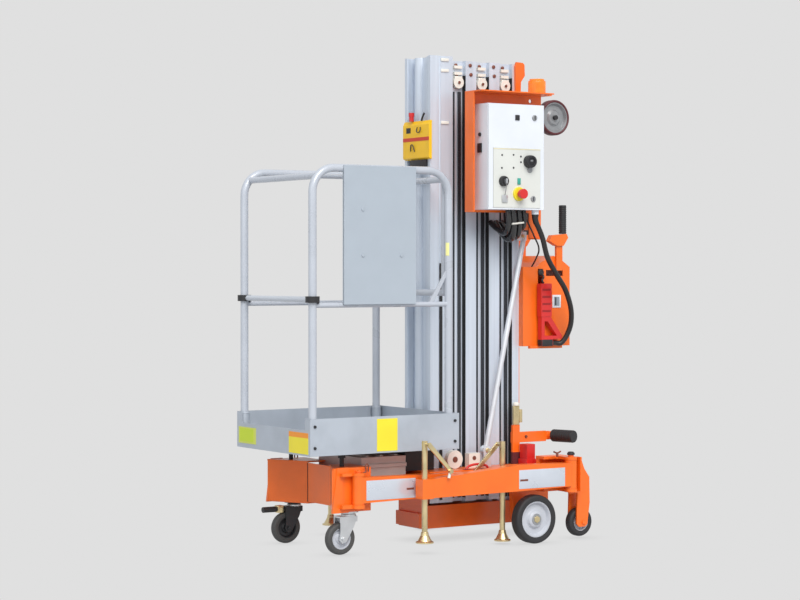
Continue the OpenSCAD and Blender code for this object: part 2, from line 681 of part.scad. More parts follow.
// foot, rod and folded crank; s is the side of the rod the crank lies on, d its direction
module jack(x, y, z0, z1, d, s, reach, foot_r, grip) {
  drop = 128;
  outside = 25;
  inside = 17;
  translate([x, y, z0]) rotate_extrude()
    polygon([[0, 0], [foot_r, 0], [foot_r, 5], [28, 9], [17, 30], [14, 44], [0, 44]]);
  rod_z(x, y, z0 + 20, z1, jack_r);
  translate([x, y + s * inside, 0]) {
    rod_y(0, z1 - 14, -22, 22, 6);
    side([[-d * 8, z1 - 22], [-d * 8, z1 - 6], [0, z1 - 4], [d * reach, z1 - drop + 10],
      [d * (reach - 6), z1 - drop - 4]], s > 0 ? inside : -outside, s > 0 ? outside : -inside);
    rod_y(d * (reach - 10), z1 - drop + 6, s > 0 ? inside : -grip, s > 0 ? grip : -inside, 9);
  }
}
module outer_jack_near() color(zinc)
  jack(outer_jack_x, -outer_y, 40, outer_low + 242, 1, -1, 106, 36, 33);
module inner_jack_near() color(zinc) jack(inner_jack_x, -inner_y, 12, 420, -1, 1, 116, 34, 28);
module outer_arm_near() outer_arm();
module outer_arm_far() far() outer_arm();
module inner_arm_near() inner_arm();
module inner_arm_far() far() inner_arm();
module outer_jack_far() far() outer_jack_near();
module inner_jack_far() far() inner_jack_near();

place() chassis_frame();
place() front_wing_near();
place() front_wing_far();
place() rear_wing_near();
place() rear_wing_far();
place() mast_base();
place() mast_foot();
place() battery_box();
place() power_unit();
place() rest_buffers();
place() mast_1();
place() mast_2();
place() mast_3();
place() mast_4();
place() pulleys_1();
place() pulleys_2();
place() pulleys_3();
place() mast_fin();
place() brace_near();
place() brace_far();
place() control_bracket();
place() control_box();
place() control_panel();
place() stop_button();
place() beacon();
place() rear_cover();
place() upper_handle();
place() upper_grips();
place() low_handles();
place() low_grips();
place() loading_bracket();
place() loading_wheel_near();
place() loading_wheel_far();
place() battery_socket();
place() battery_plug();
place() plug_cable();
place() platform_tray();
place() hoop_near();
place() hoop_far();
place() cross_rails();
place() side_panel();
place() entry_bar();
place() platform_control();
place() platform_stop();
place() caster_fork_near();
place() caster_fork_far();
place() caster_wheel_near();
place() caster_wheel_far();
place() main_wheel_near();
place() main_wheel_far();
place() rear_wheel_near();
place() rear_wheel_far();
place() outer_arm_near();
place() outer_arm_far();
place() inner_arm_near();
place() inner_arm_far();
place() outer_jack_near();
place() outer_jack_far();
place() inner_jack_near();
place() inner_jack_far();
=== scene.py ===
"""Looks of the push-around vertical mast lift: materials, small parts, light and camera."""
import json
import math

import bmesh
import bpy
from mathutils import Matrix, Vector


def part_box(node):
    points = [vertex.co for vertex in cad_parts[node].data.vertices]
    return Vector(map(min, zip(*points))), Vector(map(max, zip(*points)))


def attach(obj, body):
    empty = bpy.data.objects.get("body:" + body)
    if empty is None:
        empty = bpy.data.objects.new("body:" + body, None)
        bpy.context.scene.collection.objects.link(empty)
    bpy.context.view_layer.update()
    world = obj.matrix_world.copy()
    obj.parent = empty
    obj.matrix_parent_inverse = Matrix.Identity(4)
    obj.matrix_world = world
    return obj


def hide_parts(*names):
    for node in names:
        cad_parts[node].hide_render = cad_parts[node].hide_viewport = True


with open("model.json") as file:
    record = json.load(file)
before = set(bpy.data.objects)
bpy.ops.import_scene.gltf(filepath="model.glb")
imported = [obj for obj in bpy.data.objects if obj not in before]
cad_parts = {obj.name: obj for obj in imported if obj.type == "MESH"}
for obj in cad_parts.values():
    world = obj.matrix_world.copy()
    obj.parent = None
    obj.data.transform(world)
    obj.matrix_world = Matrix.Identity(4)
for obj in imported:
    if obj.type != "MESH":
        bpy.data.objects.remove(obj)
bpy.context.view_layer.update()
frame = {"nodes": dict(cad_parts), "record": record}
NODES = frame["nodes"]
SIDES = (("near", -1), ("far", 1))

# Places are metres from the platform's front edge, the middle plane and the ground.
TRAY_LOW, TRAY_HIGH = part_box("platform_tray")
FRONT_X = TRAY_LOW.x


def at(x, y, z):
    """A point given from the platform's front edge, in the shared frame."""
    return Vector((x + FRONT_X, y, z))


def path(*places):
    """Points of a line, each given from the platform's front edge."""
    return [at(*place) for place in places]


# Materials
NOISE_LOW, NOISE_HIGH = 0.3, 0.7
TINT_LOW, TINT_HIGH = 0.35, 0.65
ROUGH_SPREAD = 0.05
RUBBER_COLOUR = (0.018, 0.018, 0.02)


def new_material(name):
    """A node material with its tree and shader."""
    mat = bpy.data.materials.new(name)
    mat.use_nodes = True
    tree = mat.node_tree
    return mat, tree, tree.nodes["Principled BSDF"]


def texture_coords(tree, scale=(1, 1, 1)):
    """Coordinates fixed to the piece, stretched by a scale."""
    coords = tree.nodes.new("ShaderNodeTexCoord")
    mapping = tree.nodes.new("ShaderNodeMapping")
    mapping.inputs["Scale"].default_value = scale
    tree.links.new(coords.outputs["Object"], mapping.inputs["Vector"])
    return mapping.outputs["Vector"]


def noise(tree, vector, scale, detail=4.0):
    """A soft cloud of values round a half."""
    node = tree.nodes.new("ShaderNodeTexNoise")
    node.inputs["Scale"].default_value = scale
    node.inputs["Detail"].default_value = detail
    tree.links.new(vector, node.inputs["Vector"])
    return node.outputs["Fac"]


def remap(tree, value, low, high):
    """Spreads the usual range of a noise over low to high."""
    node = tree.nodes.new("ShaderNodeMapRange")
    node.inputs["From Min"].default_value = NOISE_LOW
    node.inputs["From Max"].default_value = NOISE_HIGH
    node.inputs["To Min"].default_value = low
    node.inputs["To Max"].default_value = high
    tree.links.new(value, node.inputs["Value"])
    return node.outputs["Result"]


def tint(tree, value, dark, light):
    """Blends from a dark to a light colour over the range of a noise."""
    ramp = tree.nodes.new("ShaderNodeValToRGB")
    ramp.color_ramp.elements[0].position = TINT_LOW
    ramp.color_ramp.elements[1].position = TINT_HIGH
    ramp.color_ramp.elements[0].color = (*dark, 1)
    ramp.color_ramp.elements[1].color = (*light, 1)
    tree.links.new(value, ramp.inputs["Fac"])
    return ramp.outputs["Color"]


def soften(tree, shader, radius, height=None, strength=0.1, distance=0.001):
    """Rounds sharp edges in the shading and adds a fine bump."""
    bevel = tree.nodes.new("ShaderNodeBevel")
    bevel.samples = 4
    bevel.inputs["Radius"].default_value = radius
    normal = bevel.outputs["Normal"]
    if height is not None:
        bump = tree.nodes.new("ShaderNodeBump")
        bump.inputs["Strength"].default_value = strength
        bump.inputs["Distance"].default_value = distance
        tree.links.new(height, bump.inputs["Height"])
        tree.links.new(normal, bump.inputs["Normal"])
        normal = bump.outputs["Normal"]
    tree.links.new(normal, shader.inputs["Normal"])


def shade(colour, factor):
    """A colour made darker or lighter, up to white."""
    return tuple(min(1.0, c * factor) for c in colour)


def surface(name, colour, rough, metal=0.0, vary=0.06, grain=(1, 1, 1), scale=9.0, bump=0.08,
            bump_scale=420.0, edge=0.0015, coat=0.0):
    """A painted, plastic, rubber or metal surface with slight changes of tone and a fine grain."""
    mat, tree, shader = new_material(name)
    vector = texture_coords(tree, grain)
    cloud = noise(tree, vector, scale)
    colours = tint(tree, cloud, shade(colour, 1 - vary), shade(colour, 1 + vary))
    roughness = remap(tree, cloud, rough - ROUGH_SPREAD, rough + ROUGH_SPREAD)
    tree.links.new(colours, shader.inputs["Base Color"])
    tree.links.new(roughness, shader.inputs["Roughness"])
    shader.inputs["Metallic"].default_value = metal
    shader.inputs["Coat Weight"].default_value = coat
    shader.inputs["Coat Roughness"].default_value = 0.15
    soften(tree, shader, edge, noise(tree, vector, bump_scale, 2.0), bump)
    return mat


def label_surface(name, colour, rough=0.45, vary=0.03):
    """A smooth printed or stuck-on sheet with sharp edges."""
    return surface(name, colour, rough, vary=vary, edge=0.0003)


# paint, metal and plastic
ORANGE = surface("orange_paint", (0.90, 0.155, 0.008), 0.38, coat=0.25, bump=0.05)
ALUMINIUM = surface("mast_aluminium", (0.64, 0.70, 0.78), 0.45, metal=0.35, vary=0.05,
                    grain=(1, 1, 0.02), scale=60.0, bump=0.12, edge=0.001)
GREY = surface("grey_paint", (0.43, 0.47, 0.52), 0.40, metal=0.15, bump=0.05)
PANEL_GREY = surface("panel_grey", (0.41, 0.46, 0.51), 0.48, metal=0.05, vary=0.015, bump=0.02)
RAIL_GREY = surface("rail_grey", (0.50, 0.53, 0.58), 0.30, metal=0.1, vary=0.03, bump=0.03, coat=0.3)
WHITE = surface("white_paint", (0.76, 0.79, 0.83), 0.42, vary=0.02, bump=0.04)
BLACK_RUBBER = surface("black_rubber", RUBBER_COLOUR, 0.55, bump=0.15)
NYLON = surface("nylon", (0.80, 0.78, 0.70), 0.45, vary=0.03)
SILVER = surface("silver_paint", (0.66, 0.68, 0.71), 0.38, metal=0.25)
BEIGE = surface("panel_beige", (0.70, 0.71, 0.66), 0.50, vary=0.02, bump=0.03)
RED = surface("red_plastic", (0.62, 0.022, 0.02), 0.30, coat=0.2)
DARK = surface("dark_steel", (0.03, 0.03, 0.033), 0.45, metal=0.3)
YELLOW = surface("yellow_plastic", (0.95, 0.55, 0.010), 0.42, coat=0.1)
ZINC = surface("zinc_plate", (0.70, 0.58, 0.33), 0.30, metal=0.9, vary=0.14, scale=14.0)
BRIGHT = surface("bright_zinc", (0.68, 0.70, 0.72), 0.33, metal=0.85, vary=0.07, scale=16.0)
PLATE = surface("blank_plate", (0.62, 0.66, 0.72), 0.30, metal=0.35, vary=0.03, edge=0.0005)
BROWN_STEEL = surface("bolt_brown", (0.22, 0.075, 0.05), 0.5, metal=0.4)
GREEN = surface("green_lamp", (0.05, 0.36, 0.28), 0.3)
# The battery box's warm grey is a white box as it looks in shade under the tray: painted shade.
SHADED_BATTERY_BOX = surface("battery_box", (0.70, 0.62, 0.57), 0.5, vary=0.04)
# Chains, dark enough to stand also for the deep shade in the mast's side bays: partly painted shade.
CHAIN_AND_BAY_SHADE = surface("chain", (0.05, 0.055, 0.065), 0.45, metal=0.6, vary=0.25, scale=180.0, bump=0.5,
                bump_scale=260.0)
SEAL = surface("seal", (0.012, 0.012, 0.014), 0.6, bump=0.05, edge=0.0003)
GLOSS_BLACK = surface("gloss_black", (0.016, 0.015, 0.016), 0.18, coat=0.5)
CABLE_BLACK = surface("cable_black", (0.016, 0.015, 0.015), 0.42, bump=0.1)

# wheels
TYRE = surface("tyre_black", (0.022, 0.022, 0.024), 0.68, bump=0.25, bump_scale=160.0)
TYRE_GREY = surface("tyre_grey", (0.060, 0.060, 0.058), 0.62, bump=0.2, bump_scale=160.0)
MAROON = surface("tyre_maroon", (0.10, 0.018, 0.022), 0.55, bump=0.15)
RIM_WHITE = surface("rim_white", (0.50, 0.52, 0.56), 0.40, vary=0.04)
HUB_GREY = surface("hub_grey", (0.33, 0.34, 0.35), 0.40, metal=0.5, vary=0.08, scale=20.0)

# labels
LABEL = label_surface("label_yellow", (0.86, 0.72, 0.03))
LABEL_PALE = label_surface("label_pale", (0.84, 0.80, 0.32))
LABEL_ORANGE = label_surface("label_orange", (0.88, 0.30, 0.02))
LABEL_GREEN = label_surface("label_green", (0.62, 0.66, 0.10))
LABEL_LIME = label_surface("label_lime", (0.55, 0.68, 0.02))
LABEL_RED = label_surface("label_red", (0.62, 0.05, 0.02))
PALE = label_surface("pale_yellow", (0.80, 0.74, 0.50), 0.5, 0.02)
GAUGE_GREY = label_surface("gauge_grey", (0.28, 0.32, 0.36), 0.25, 0.06)
DARK_RED = label_surface("dark_red", (0.30, 0.012, 0.012), 0.4, 0.06)


def amber_lens():
    """Orange plastic that lets some light through and glows a little."""
    mat, tree, shader = new_material("amber_lens")
    cloud = noise(tree, texture_coords(tree), 30.0)
    colours = tint(tree, cloud, (0.95, 0.28, 0.02), (1.0, 0.36, 0.03))
    tree.links.new(colours, shader.inputs["Base Color"])
    shader.inputs["Roughness"].default_value = 0.18
    shader.inputs["Transmission Weight"].default_value = 0.35
    shader.inputs["Emission Color"].default_value = (1.0, 0.30, 0.03, 1)
    shader.inputs["Emission Strength"].default_value = 0.12
    soften(tree, shader, 0.001)
    return mat


def diagonal_bars(tree, vector, degrees):
    """Bright fields of a brick pattern turned by an angle."""
    spin = tree.nodes.new("ShaderNodeVectorRotate")
    spin.inputs["Angle"].default_value = math.radians(degrees)
    tree.links.new(vector, spin.inputs["Vector"])
    brick = tree.nodes.new("ShaderNodeTexBrick")
    brick.inputs["Scale"].default_value = 22.0
    brick.inputs["Mortar Size"].default_value = 0.03
    brick.inputs["Color1"].default_value = (1, 1, 1, 1)
    brick.inputs["Color2"].default_value = (0, 0, 0, 1)
    brick.inputs["Mortar"].default_value = (0, 0, 0, 1)
    tree.links.new(spin.outputs["Vector"], brick.inputs["Vector"])
    return brick.outputs["Color"]


def tread_plate():
    """Grey floor plate with raised diagonal bars."""
    mat, tree, shader = new_material("tread_plate")
    shader.inputs["Metallic"].default_value = 0.4
    shader.inputs["Roughness"].default_value = 0.45
    shader.inputs["Base Color"].default_value = (0.36, 0.39, 0.43, 1)
    vector = texture_coords(tree)
    mix = tree.nodes.new("ShaderNodeMix")
    mix.data_type = "RGBA"
    mix.blend_type = "DIFFERENCE"
    mix.inputs["Factor"].default_value = 1.0
    tree.links.new(diagonal_bars(tree, vector, 45), mix.inputs["A"])
    tree.links.new(diagonal_bars(tree, vector, -45), mix.inputs["B"])
    soften(tree, shader, 0.0005, mix.outputs["Result"], 0.5, 0.002)
    return mat


def entry_bar_paint(loop_start=0.244):
    """Grey paint on the bar and black rubber on its loops, which start so far from the middle."""
    mat, tree, shader = new_material("entry_bar_paint")
    coords = tree.nodes.new("ShaderNodeTexCoord")
    split = tree.nodes.new("ShaderNodeSeparateXYZ")
    away = tree.nodes.new("ShaderNodeMath")
    away.operation = "ABSOLUTE"
    end = tree.nodes.new("ShaderNodeMath")
    end.operation = "GREATER_THAN"
    end.inputs[1].default_value = loop_start
    mix = tree.nodes.new("ShaderNodeMix")
    mix.data_type = "RGBA"
    mix.inputs["A"].default_value = (0.55, 0.58, 0.62, 1)
    mix.inputs["B"].default_value = (*RUBBER_COLOUR, 1)
    tree.links.new(coords.outputs["Object"], split.inputs["Vector"])
    tree.links.new(split.outputs["Y"], away.inputs[0])
    tree.links.new(away.outputs["Value"], end.inputs[0])
    tree.links.new(end.outputs["Value"], mix.inputs["Factor"])
    tree.links.new(mix.outputs["Result"], shader.inputs["Base Color"])
    shader.inputs["Roughness"].default_value = 0.42
    soften(tree, shader, 0.0015)
    return mat


AMBER = amber_lens()
TREAD = tread_plate()
SLOT_MATERIALS = {
    "orange_paint": ORANGE, "mast_aluminium": ALUMINIUM, "grey_paint": GREY, "white_paint": WHITE,
    "black_rubber": BLACK_RUBBER, "nylon": NYLON, "silver_paint": SILVER, "panel_beige": BEIGE,
    "red_plastic": RED, "amber_lens": AMBER, "dark_steel": DARK, "yellow_plastic": YELLOW,
    "zinc_plate": ZINC, "bright_zinc": BRIGHT, "tyre_black": TYRE, "tyre_grey": TYRE_GREY,
    "tyre_maroon": MAROON,
}
OWN_MATERIALS = {
    "side_panel": PANEL_GREY, "hoop_near": RAIL_GREY, "hoop_far": RAIL_GREY, "cross_rails": RAIL_GREY,
    "battery_box": SHADED_BATTERY_BOX, "entry_bar": entry_bar_paint(),
}
for part in frame["record"]["subparts"]:
    materials = NODES[part["node"]].data.materials
    materials.clear()
    materials.append(OWN_MATERIALS.get(part["node"], SLOT_MATERIALS[part["material_slot"]]))


# Shapes
SMOOTH_BELOW = math.radians(35)
SKIN = 0.001


def mesh_piece(name, bm, material, body, smooth=True):
    """Makes the bmesh a piece that rides on a body, smooth but for its sharp edges."""
    mesh = bpy.data.meshes.new(name)
    bmesh.ops.recalc_face_normals(bm, faces=bm.faces)
    bm.to_mesh(mesh)
    bm.free()
    mesh.materials.append(material)
    piece = bpy.data.objects.new(name, mesh)
    bpy.context.scene.collection.objects.link(piece)
    if smooth:
        mesh.polygons.foreach_set("use_smooth", [True] * len(mesh.polygons))
        mesh.set_sharp_from_angle(angle=SMOOTH_BELOW)
    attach(piece, body)
    return piece


def axis_matrix(centre, axis):
    """Turns local Z to an axis and moves to a centre."""
    turn = Vector((0, 0, 1)).rotation_difference(Vector(axis).normalized()).to_matrix().to_4x4()
    return Matrix.Translation(centre) @ turn


def box_piece(name, low, high, material, body, bevel=0.0):
    """A box between two corners, with rounded edges if a bevel is given."""
    bm = bmesh.new()
    bmesh.ops.create_cube(bm, size=1.0)
    bmesh.ops.scale(bm, vec=high - low, verts=bm.verts)
    bmesh.ops.translate(bm, vec=(low + high) / 2, verts=bm.verts)
    if bevel:
        bmesh.ops.bevel(bm, geom=bm.edges[:], offset=bevel, segments=2, affect="EDGES", profile=0.5)
    return mesh_piece(name, bm, material, body)


def side_box(name, xs, ys, zs, out, material, body, bevel=0.0):
    """A box given by its spans, mirrored to the far side where out is 1."""
    y0, y1 = sorted(out * y for y in ys)
    return box_piece(name, at(xs[0], y0, zs[0]), at(xs[1], y1, zs[1]), material, body, bevel)


def thin_on_side(name, xs, zs, face, out, material, body, thick=SKIN, bevel=0.0):
    """A thin plate on an upright face across Y, given as its distance from the middle plane."""
    return side_box(name, xs, (face, face + thick), zs, out, material, body, bevel)


def thin_on_front(name, ys, zs, face, material, body, thick=SKIN):
    """A thin plate on an upright face that looks towards -X."""
    low = Vector((face - thick, ys[0], zs[0]))
    high = Vector((face, ys[1], zs[1]))
    return box_piece(name, low, high, material, body)


def ring_of_points(radius, height, steps):
    """Points round local Z, or the one point on it where the radius is nothing."""
    if radius < 1e-6:
        return [(0, 0, height)]
    angles = [2 * math.pi * i / steps for i in range(steps)]
    return [(radius * math.cos(a), radius * math.sin(a), height) for a in angles]


def lathe_piece(name, centre, axis, profile, material, body, steps=64):
    """Turns a profile of (radius, height) points round an axis through the centre."""
    bm = bmesh.new()
    rings = [[bm.verts.new(p) for p in ring_of_points(r, h, steps)] for r, h in profile]
    for lower, upper in zip(rings, rings[1:]):
        for i in range(steps):
            j = (i + 1) % steps
            below = (lower[i % len(lower)], lower[j % len(lower)])
            above = (upper[j % len(upper)], upper[i % len(upper)])
            corners = list(dict.fromkeys((*below, *above)))
            if len(corners) > 2:
                bm.faces.new(corners)
    bmesh.ops.transform(bm, matrix=axis_matrix(centre, axis), verts=bm.verts)
    return mesh_piece(name, bm, material, body)


def disc_piece(name, centre, axis, radius, depth, material, body, rim=0.001):
    """A short cylinder with a rounded outer edge, from the centre along the axis."""
    profile = [(0, 0), (radius, 0), (radius, depth - rim), (radius - rim, depth), (0, depth)]
    return lathe_piece(name, centre, axis, profile, material, body, 32)


def hex_bolt(name, centre, axis, across, material, body, washer=0.0015):
    """A washer and a hexagon head."""
    bm = bmesh.new()
    turned = axis_matrix(centre, axis)
    washer_radius, head_radius, head = across * 0.62, across / math.sqrt(3), across * 0.42
    for radius, depth, start, sides in ((washer_radius, washer, 0.0, 24), (head_radius, head, washer, 6)):
        place = turned @ Matrix.Translation((0, 0, start + depth / 2))
        bmesh.ops.create_cone(bm, cap_ends=True, segments=sides, radius1=radius, radius2=radius * 0.96,
                              depth=depth, matrix=place)
    return mesh_piece(name, bm, material, body)


def curve_piece(name, kind, radius, bevel_resolution, material):
    """A round curve without points yet, with closed ends, linked to the scene."""
    curve = bpy.data.curves.new(name, "CURVE")
    curve.dimensions = "3D"
    curve.bevel_depth = radius
    curve.bevel_resolution = bevel_resolution
    curve.use_fill_caps = True
    curve.materials.append(material)
    piece = bpy.data.objects.new(name, curve)
    bpy.context.scene.collection.objects.link(piece)
    return piece, curve.splines.new(kind)


def tube_piece(name, points, radius, material, body, sides=12):
    """A round tube along a smooth line through the points."""
    piece, line = curve_piece(name, "BEZIER", radius, max(1, sides // 4), material)
    piece.data.resolution_u = 6
    line.bezier_points.add(len(points) - 1)
    for knot, point in zip(line.bezier_points, points):
        knot.co = point
        knot.handle_left_type = "AUTO"
        knot.handle_right_type = "AUTO"
    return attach(piece, body)


def line_tube(name, points, radius, end_radius, material, body):
    """A tube of straight steps between the points, with its radius at the start and at the end."""
    piece, line = curve_piece(name, "POLY", radius, 5, material)
    last = len(points) - 1
    line.points.add(last)
    for i, (knot, point) in enumerate(zip(line.points, points)):
        knot.co = (*point, 1.0)
        knot.radius = 1 + (end_radius / radius - 1) * i / last
    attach(piece, body)
    return piece


def wrap_label(name, centre, height, radius, start, end, material, body, steps=12):
    """A thin label round part of an upright tube, between two angles in degrees."""
    bm = bmesh.new()
    rings = []
    for z in (0.0, height):
        for r in (radius + 0.0002, radius + 0.0008):
            angles = [math.radians(start + (end - start) * i / steps) for i in range(steps + 1)]
            places = [Vector((r * math.cos(a), r * math.sin(a), z)) for a in angles]
            rings.append([bm.verts.new(centre + place) for place in places])
    inner_low, outer_low, inner_high, outer_high = rings
    loop = (inner_low, outer_low, outer_high, inner_high)
    for a, b in zip(loop, (*loop[1:], loop[0])):
        for i in range(steps):
            bm.faces.new((a[i], a[i + 1], b[i + 1], b[i]))
    for i in (0, steps):
        bm.faces.new([ring[i] for ring in loop])
    return mesh_piece(name, bm, material, body)


def middle(node):
    """The centre of a node's box."""
    low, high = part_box(node)
    return (low + high) / 2


def half_size(node):
    """Half of a node's size along each axis."""
    low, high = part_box(node)
    return (high - low) / 2


# Wheels
AXLE_RADIUS = 0.0085
HUB_SHARE = 0.30
NUT_DEPTH = 0.0105
# kind, tyre, rims of the near and far side, rim's share of the radius, crown, slot
WHEELS = (
    ("main_wheel", TYRE, (RIM_WHITE, RIM_WHITE), 0.74, 0.22, "tyre_black"),
    ("rear_wheel", TYRE, (RIM_WHITE, RIM_WHITE), 0.62, 0.30, "tyre_black"),
    ("caster_wheel", TYRE_GREY, (RIM_WHITE, DARK), 0.66, 0.34, "tyre_grey"),
    ("loading_wheel", MAROON, (HUB_GREY, HUB_GREY), 0.86, 0.18, "tyre_maroon"),
)


def round_tyre(radius, width, inner, shoulder):
    """Closed profile of a tyre: (radius, height) points from the inner bore round the tread."""
    half = width / 2
    arc = []
    for step in range(7):
        angle = math.radians(15 * step)
        reach, rise = shoulder * math.cos(angle), shoulder * math.sin(angle)
        arc.append((radius - shoulder + reach, half - shoulder + rise))
    lower = [(r, -h) for r, h in reversed(arc)]
    bore = ((inner, -half * 0.9), (inner, half * 0.9))
    return [bore[0], *lower, *arc, bore[1], bore[0]]


def rim_dish(inner, lip):
    """Profile of a rim that is dished on both faces, with raised hub and lips."""
    face = [(AXLE_RADIUS, lip * 0.8), (inner * 0.42, lip * 0.8), (inner * 0.55, lip * 0.25),
            (inner * 0.82, lip * 0.2), (inner * 0.93, lip), (inner + 0.001, lip)]
    return [*((r, -h) for r, h in face), *reversed(face)]


def wheel_pieces(node, tyre_mat, rim_mat, rim_share, crown):
    """Tyre and rim that stand for one wheel of the construction."""
    centre, half = middle(node), half_size(node)
    radius, width = half.z, 2 * half.y
    inner = radius * rim_share
    profile = round_tyre(radius, width, inner, width * crown)
    tyre = lathe_piece(f"{node}_tyre", centre, (0, 1, 0), profile, tyre_mat, node, 72)
    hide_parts(node)
    lathe_piece(f"{node}_rim", centre, (0, 1, 0), rim_dish(inner, width * 0.40), rim_mat, node, 56)


def main_hub(node, out):
    """Hub, bearing and nut on the outer face of a main wheel."""
    centre, width = middle(node), 2 * half_size(node).y
    axis = (0, out, 0)
    hub = centre + Vector((0, out * width * HUB_SHARE, 0))
    nut = centre + Vector((0, out * (width / 2 - NUT_DEPTH), 0))
    hub_profile = [(0.034, -0.006), (0.034, 0), (0.026, 0.006), (0.013, 0.007)]
    bearing_profile = [(0.024, 0.0055), (0.022, 0.009), (0.013, 0.0085)]
    lathe_piece(f"{node}_hub", hub, axis, hub_profile, RIM_WHITE, node, 40)
    lathe_piece(f"{node}_bearing", hub, axis, bearing_profile, HUB_GREY, node, 32)
    hex_bolt(f"{node}_nut", nut, axis, 0.026, ZINC, "chassis")


for number, (side, out) in enumerate(SIDES):
    for kind, tyre_mat, rim_mats, rim_share, crown, slot in WHEELS:
        wheel_pieces(f"{kind}_{side}", tyre_mat, rim_mats[number], rim_share, crown)
    main_hub(f"main_wheel_{side}", out)

# Platform: blank labels on the boards and on the rear post
TOE_TOP = TRAY_HIGH.z
TOE_FACE = TRAY_HIGH.y
BOARD_FACE = TRAY_LOW.x
HOOP_Y = abs(middle("hoop_near").y)
POST_RADIUS = 0.016
POST_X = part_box("hoop_near")[1].x - POST_RADIUS - FRONT_X
FRONT_LABELS = (
    ("label_front_far", (0.136, 0.279), (0.418, 0.484), BOARD_FACE, LABEL_GREEN, SKIN),
    ("label_front_far_field", (0.155, 0.268), (0.426, 0.478), BOARD_FACE - SKIN, LABEL_LIME, 0.0006),
    ("label_front_near", (-0.279, -0.130), (0.407, 0.470), BOARD_FACE, LABEL, SKIN),
    ("label_front_near_top", (-0.279, -0.130), (0.470, 0.490), BOARD_FACE, LABEL_ORANGE, SKIN),
)
for name, ys, zs, face, material, thick in FRONT_LABELS:
    thin_on_front(name, ys, zs, face, material, "platform", thick)
thin_on_side("label_toe_board", (0.305, 0.401), (TRAY_LOW.z + 0.007, TOE_TOP - 0.010), TOE_FACE, -1,
             LABEL, "platform")
wrap_label("label_post", at(POST_X, -HOOP_Y, 1.180), 0.052, POST_RADIUS, 192, 246, LABEL_PALE, "platform")

# Bolts of the toe boards
TOE_BOLT_XS = (0.021, 0.677)
TOE_BOLT_ZS = (0.432, 0.515)
for side, out in SIDES:
    for x in TOE_BOLT_XS:
        for z in TOE_BOLT_ZS:
            place = at(x, out * TOE_FACE, z)
            hex_bolt(f"toe_bolt_{side}_{x}_{z}", place, (0, out, 0), 0.010, DARK, "platform")

# Floor plate with raised bars, and collars where the posts stand in the toe boards
TRAY_SHEET = 0.006
FLOOR_Z = TRAY_LOW.z + 0.008
FLOOR_END = 0.682
TREAD_THICK = 0.002
COLLAR_PROFILE = [(0.0165, 0), (0.0205, 0), (0.0205, 0.004), (0.0165, 0.007)]
box_piece("tread_floor", at(TRAY_SHEET, -TOE_FACE + TRAY_SHEET, FLOOR_Z),
          at(FLOOR_END, TOE_FACE - TRAY_SHEET, FLOOR_Z + TREAD_THICK), TREAD, "platform")
for x in (0.023, 0.660):
    for side, out in SIDES:
        place = at(x, out * HOOP_Y, TOE_TOP - 0.0095)
        lathe_piece(f"post_collar_{side}_{x}", place, (0, 0, 1), COLLAR_PROFILE, GREY, "platform", 32)

# Folded upright edges of the side panel
PANEL_LOW, PANEL_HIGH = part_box("side_panel")
FOLD = 0.004
for x in (PANEL_LOW.x + FOLD, PANEL_HIGH.x - FOLD):
    low = Vector((x - FOLD, PANEL_HIGH.y - 0.001, PANEL_LOW.z + 0.002))
    high = Vector((x + FOLD, PANEL_HIGH.y + 0.006, PANEL_HIGH.z - 0.002))
    box_piece(f"panel_fold_{x:.3f}", low, high, PANEL_GREY, "platform")

# Platform control: stripe, slot, hook, clip, lever and the dark cover below
CONTROL_LOW, CONTROL_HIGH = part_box("platform_control")
LEVER_X = middle("platform_stop").x - FRONT_X
LEVER_Z = CONTROL_HIGH.z
thin_on_front("control_stripe", (CONTROL_LOW.y + SKIN, CONTROL_HIGH.y - SKIN), (1.655, 1.670),
              CONTROL_LOW.x, LABEL_RED, "platform")
thin_on_front("control_slot", (0.030, 0.062), (1.690, 1.712), CONTROL_LOW.x, DARK, "platform")
CONTROL_TUBES = (
    ("control_hook", 0.002, path((0.674, -0.022, 1.712), (0.671, -0.022, 1.694),
                                 (0.671, -0.045, 1.694), (0.674, -0.045, 1.712))),
    ("control_clip", 0.0022, path((0.674, 0.028, 1.615), (0.670, 0.018, 1.640),
                                  (0.670, 0.010, 1.640), (0.674, -0.002, 1.612))),
    ("control_lever", 0.004, path((LEVER_X, -0.050, LEVER_Z), (LEVER_X, -0.056, LEVER_Z + 0.012),
                                  (LEVER_X, -0.070, LEVER_Z + 0.030))),
)
for name, radius, points in CONTROL_TUBES:
    tube_piece(name, points, radius, DARK, "platform", 8)
box_piece("control_underside", at(0.682, -0.075, CONTROL_LOW.z - 0.030),
          at(0.6895, 0.045, CONTROL_LOW.z - 0.001), DARK, "platform", 0.002)

# Mast: dark chain strips in the side bays, partly painted shade of the deep bays, dark seals at the
# flanges, bolts, pulley hubs and guards
TONGUE_REACH = 0.038
BAY_WALL_Y = 0.0725
FLANGE_Y = 0.095
CHAIN_AND_SHADE_SPANS = ((0.009, 0.014), (0.032, 0.046))
CHAIN_AND_SHADE_TOP = 1.862
CHAIN_AND_SHADE_DEPTH = 0.006
SEAL_SPAN = (0.056, 0.059)
SEAL_TOP = 1.930
HUB_X, HUB_Y = 0.027, 0.094
GUARD_HALF = 0.019
GUARD_YS = (0.0735, 0.090)
GUARD_LOW, GUARD_HIGH = 0.004, 0.026
MAST_BOLTS = ((0.022, 0.0735, 1.972), (0.026, 0.0735, 1.934), (0.080, FLANGE_Y, 1.972),
              (0.084, FLANGE_Y, 1.934))
BOLT_PROFILE = [(0, 0), (0.0075, 0), (0.0075, 0.004), (0.004, 0.006), (0, 0.006)]
HUB_PROFILE = [(0, 0), (0.006, 0), (0.006, 0.0025), (0.003, 0.0035), (0, 0.0035)]
# section, body, lower end of its chains and seals, height of its pulley's hub
SECTIONS = (("mast_1", "chassis", 0.165, 1.896), ("mast_2", "mast_2", 0.175, 1.898),
            ("mast_3", "mast_3", 0.175, 1.900))


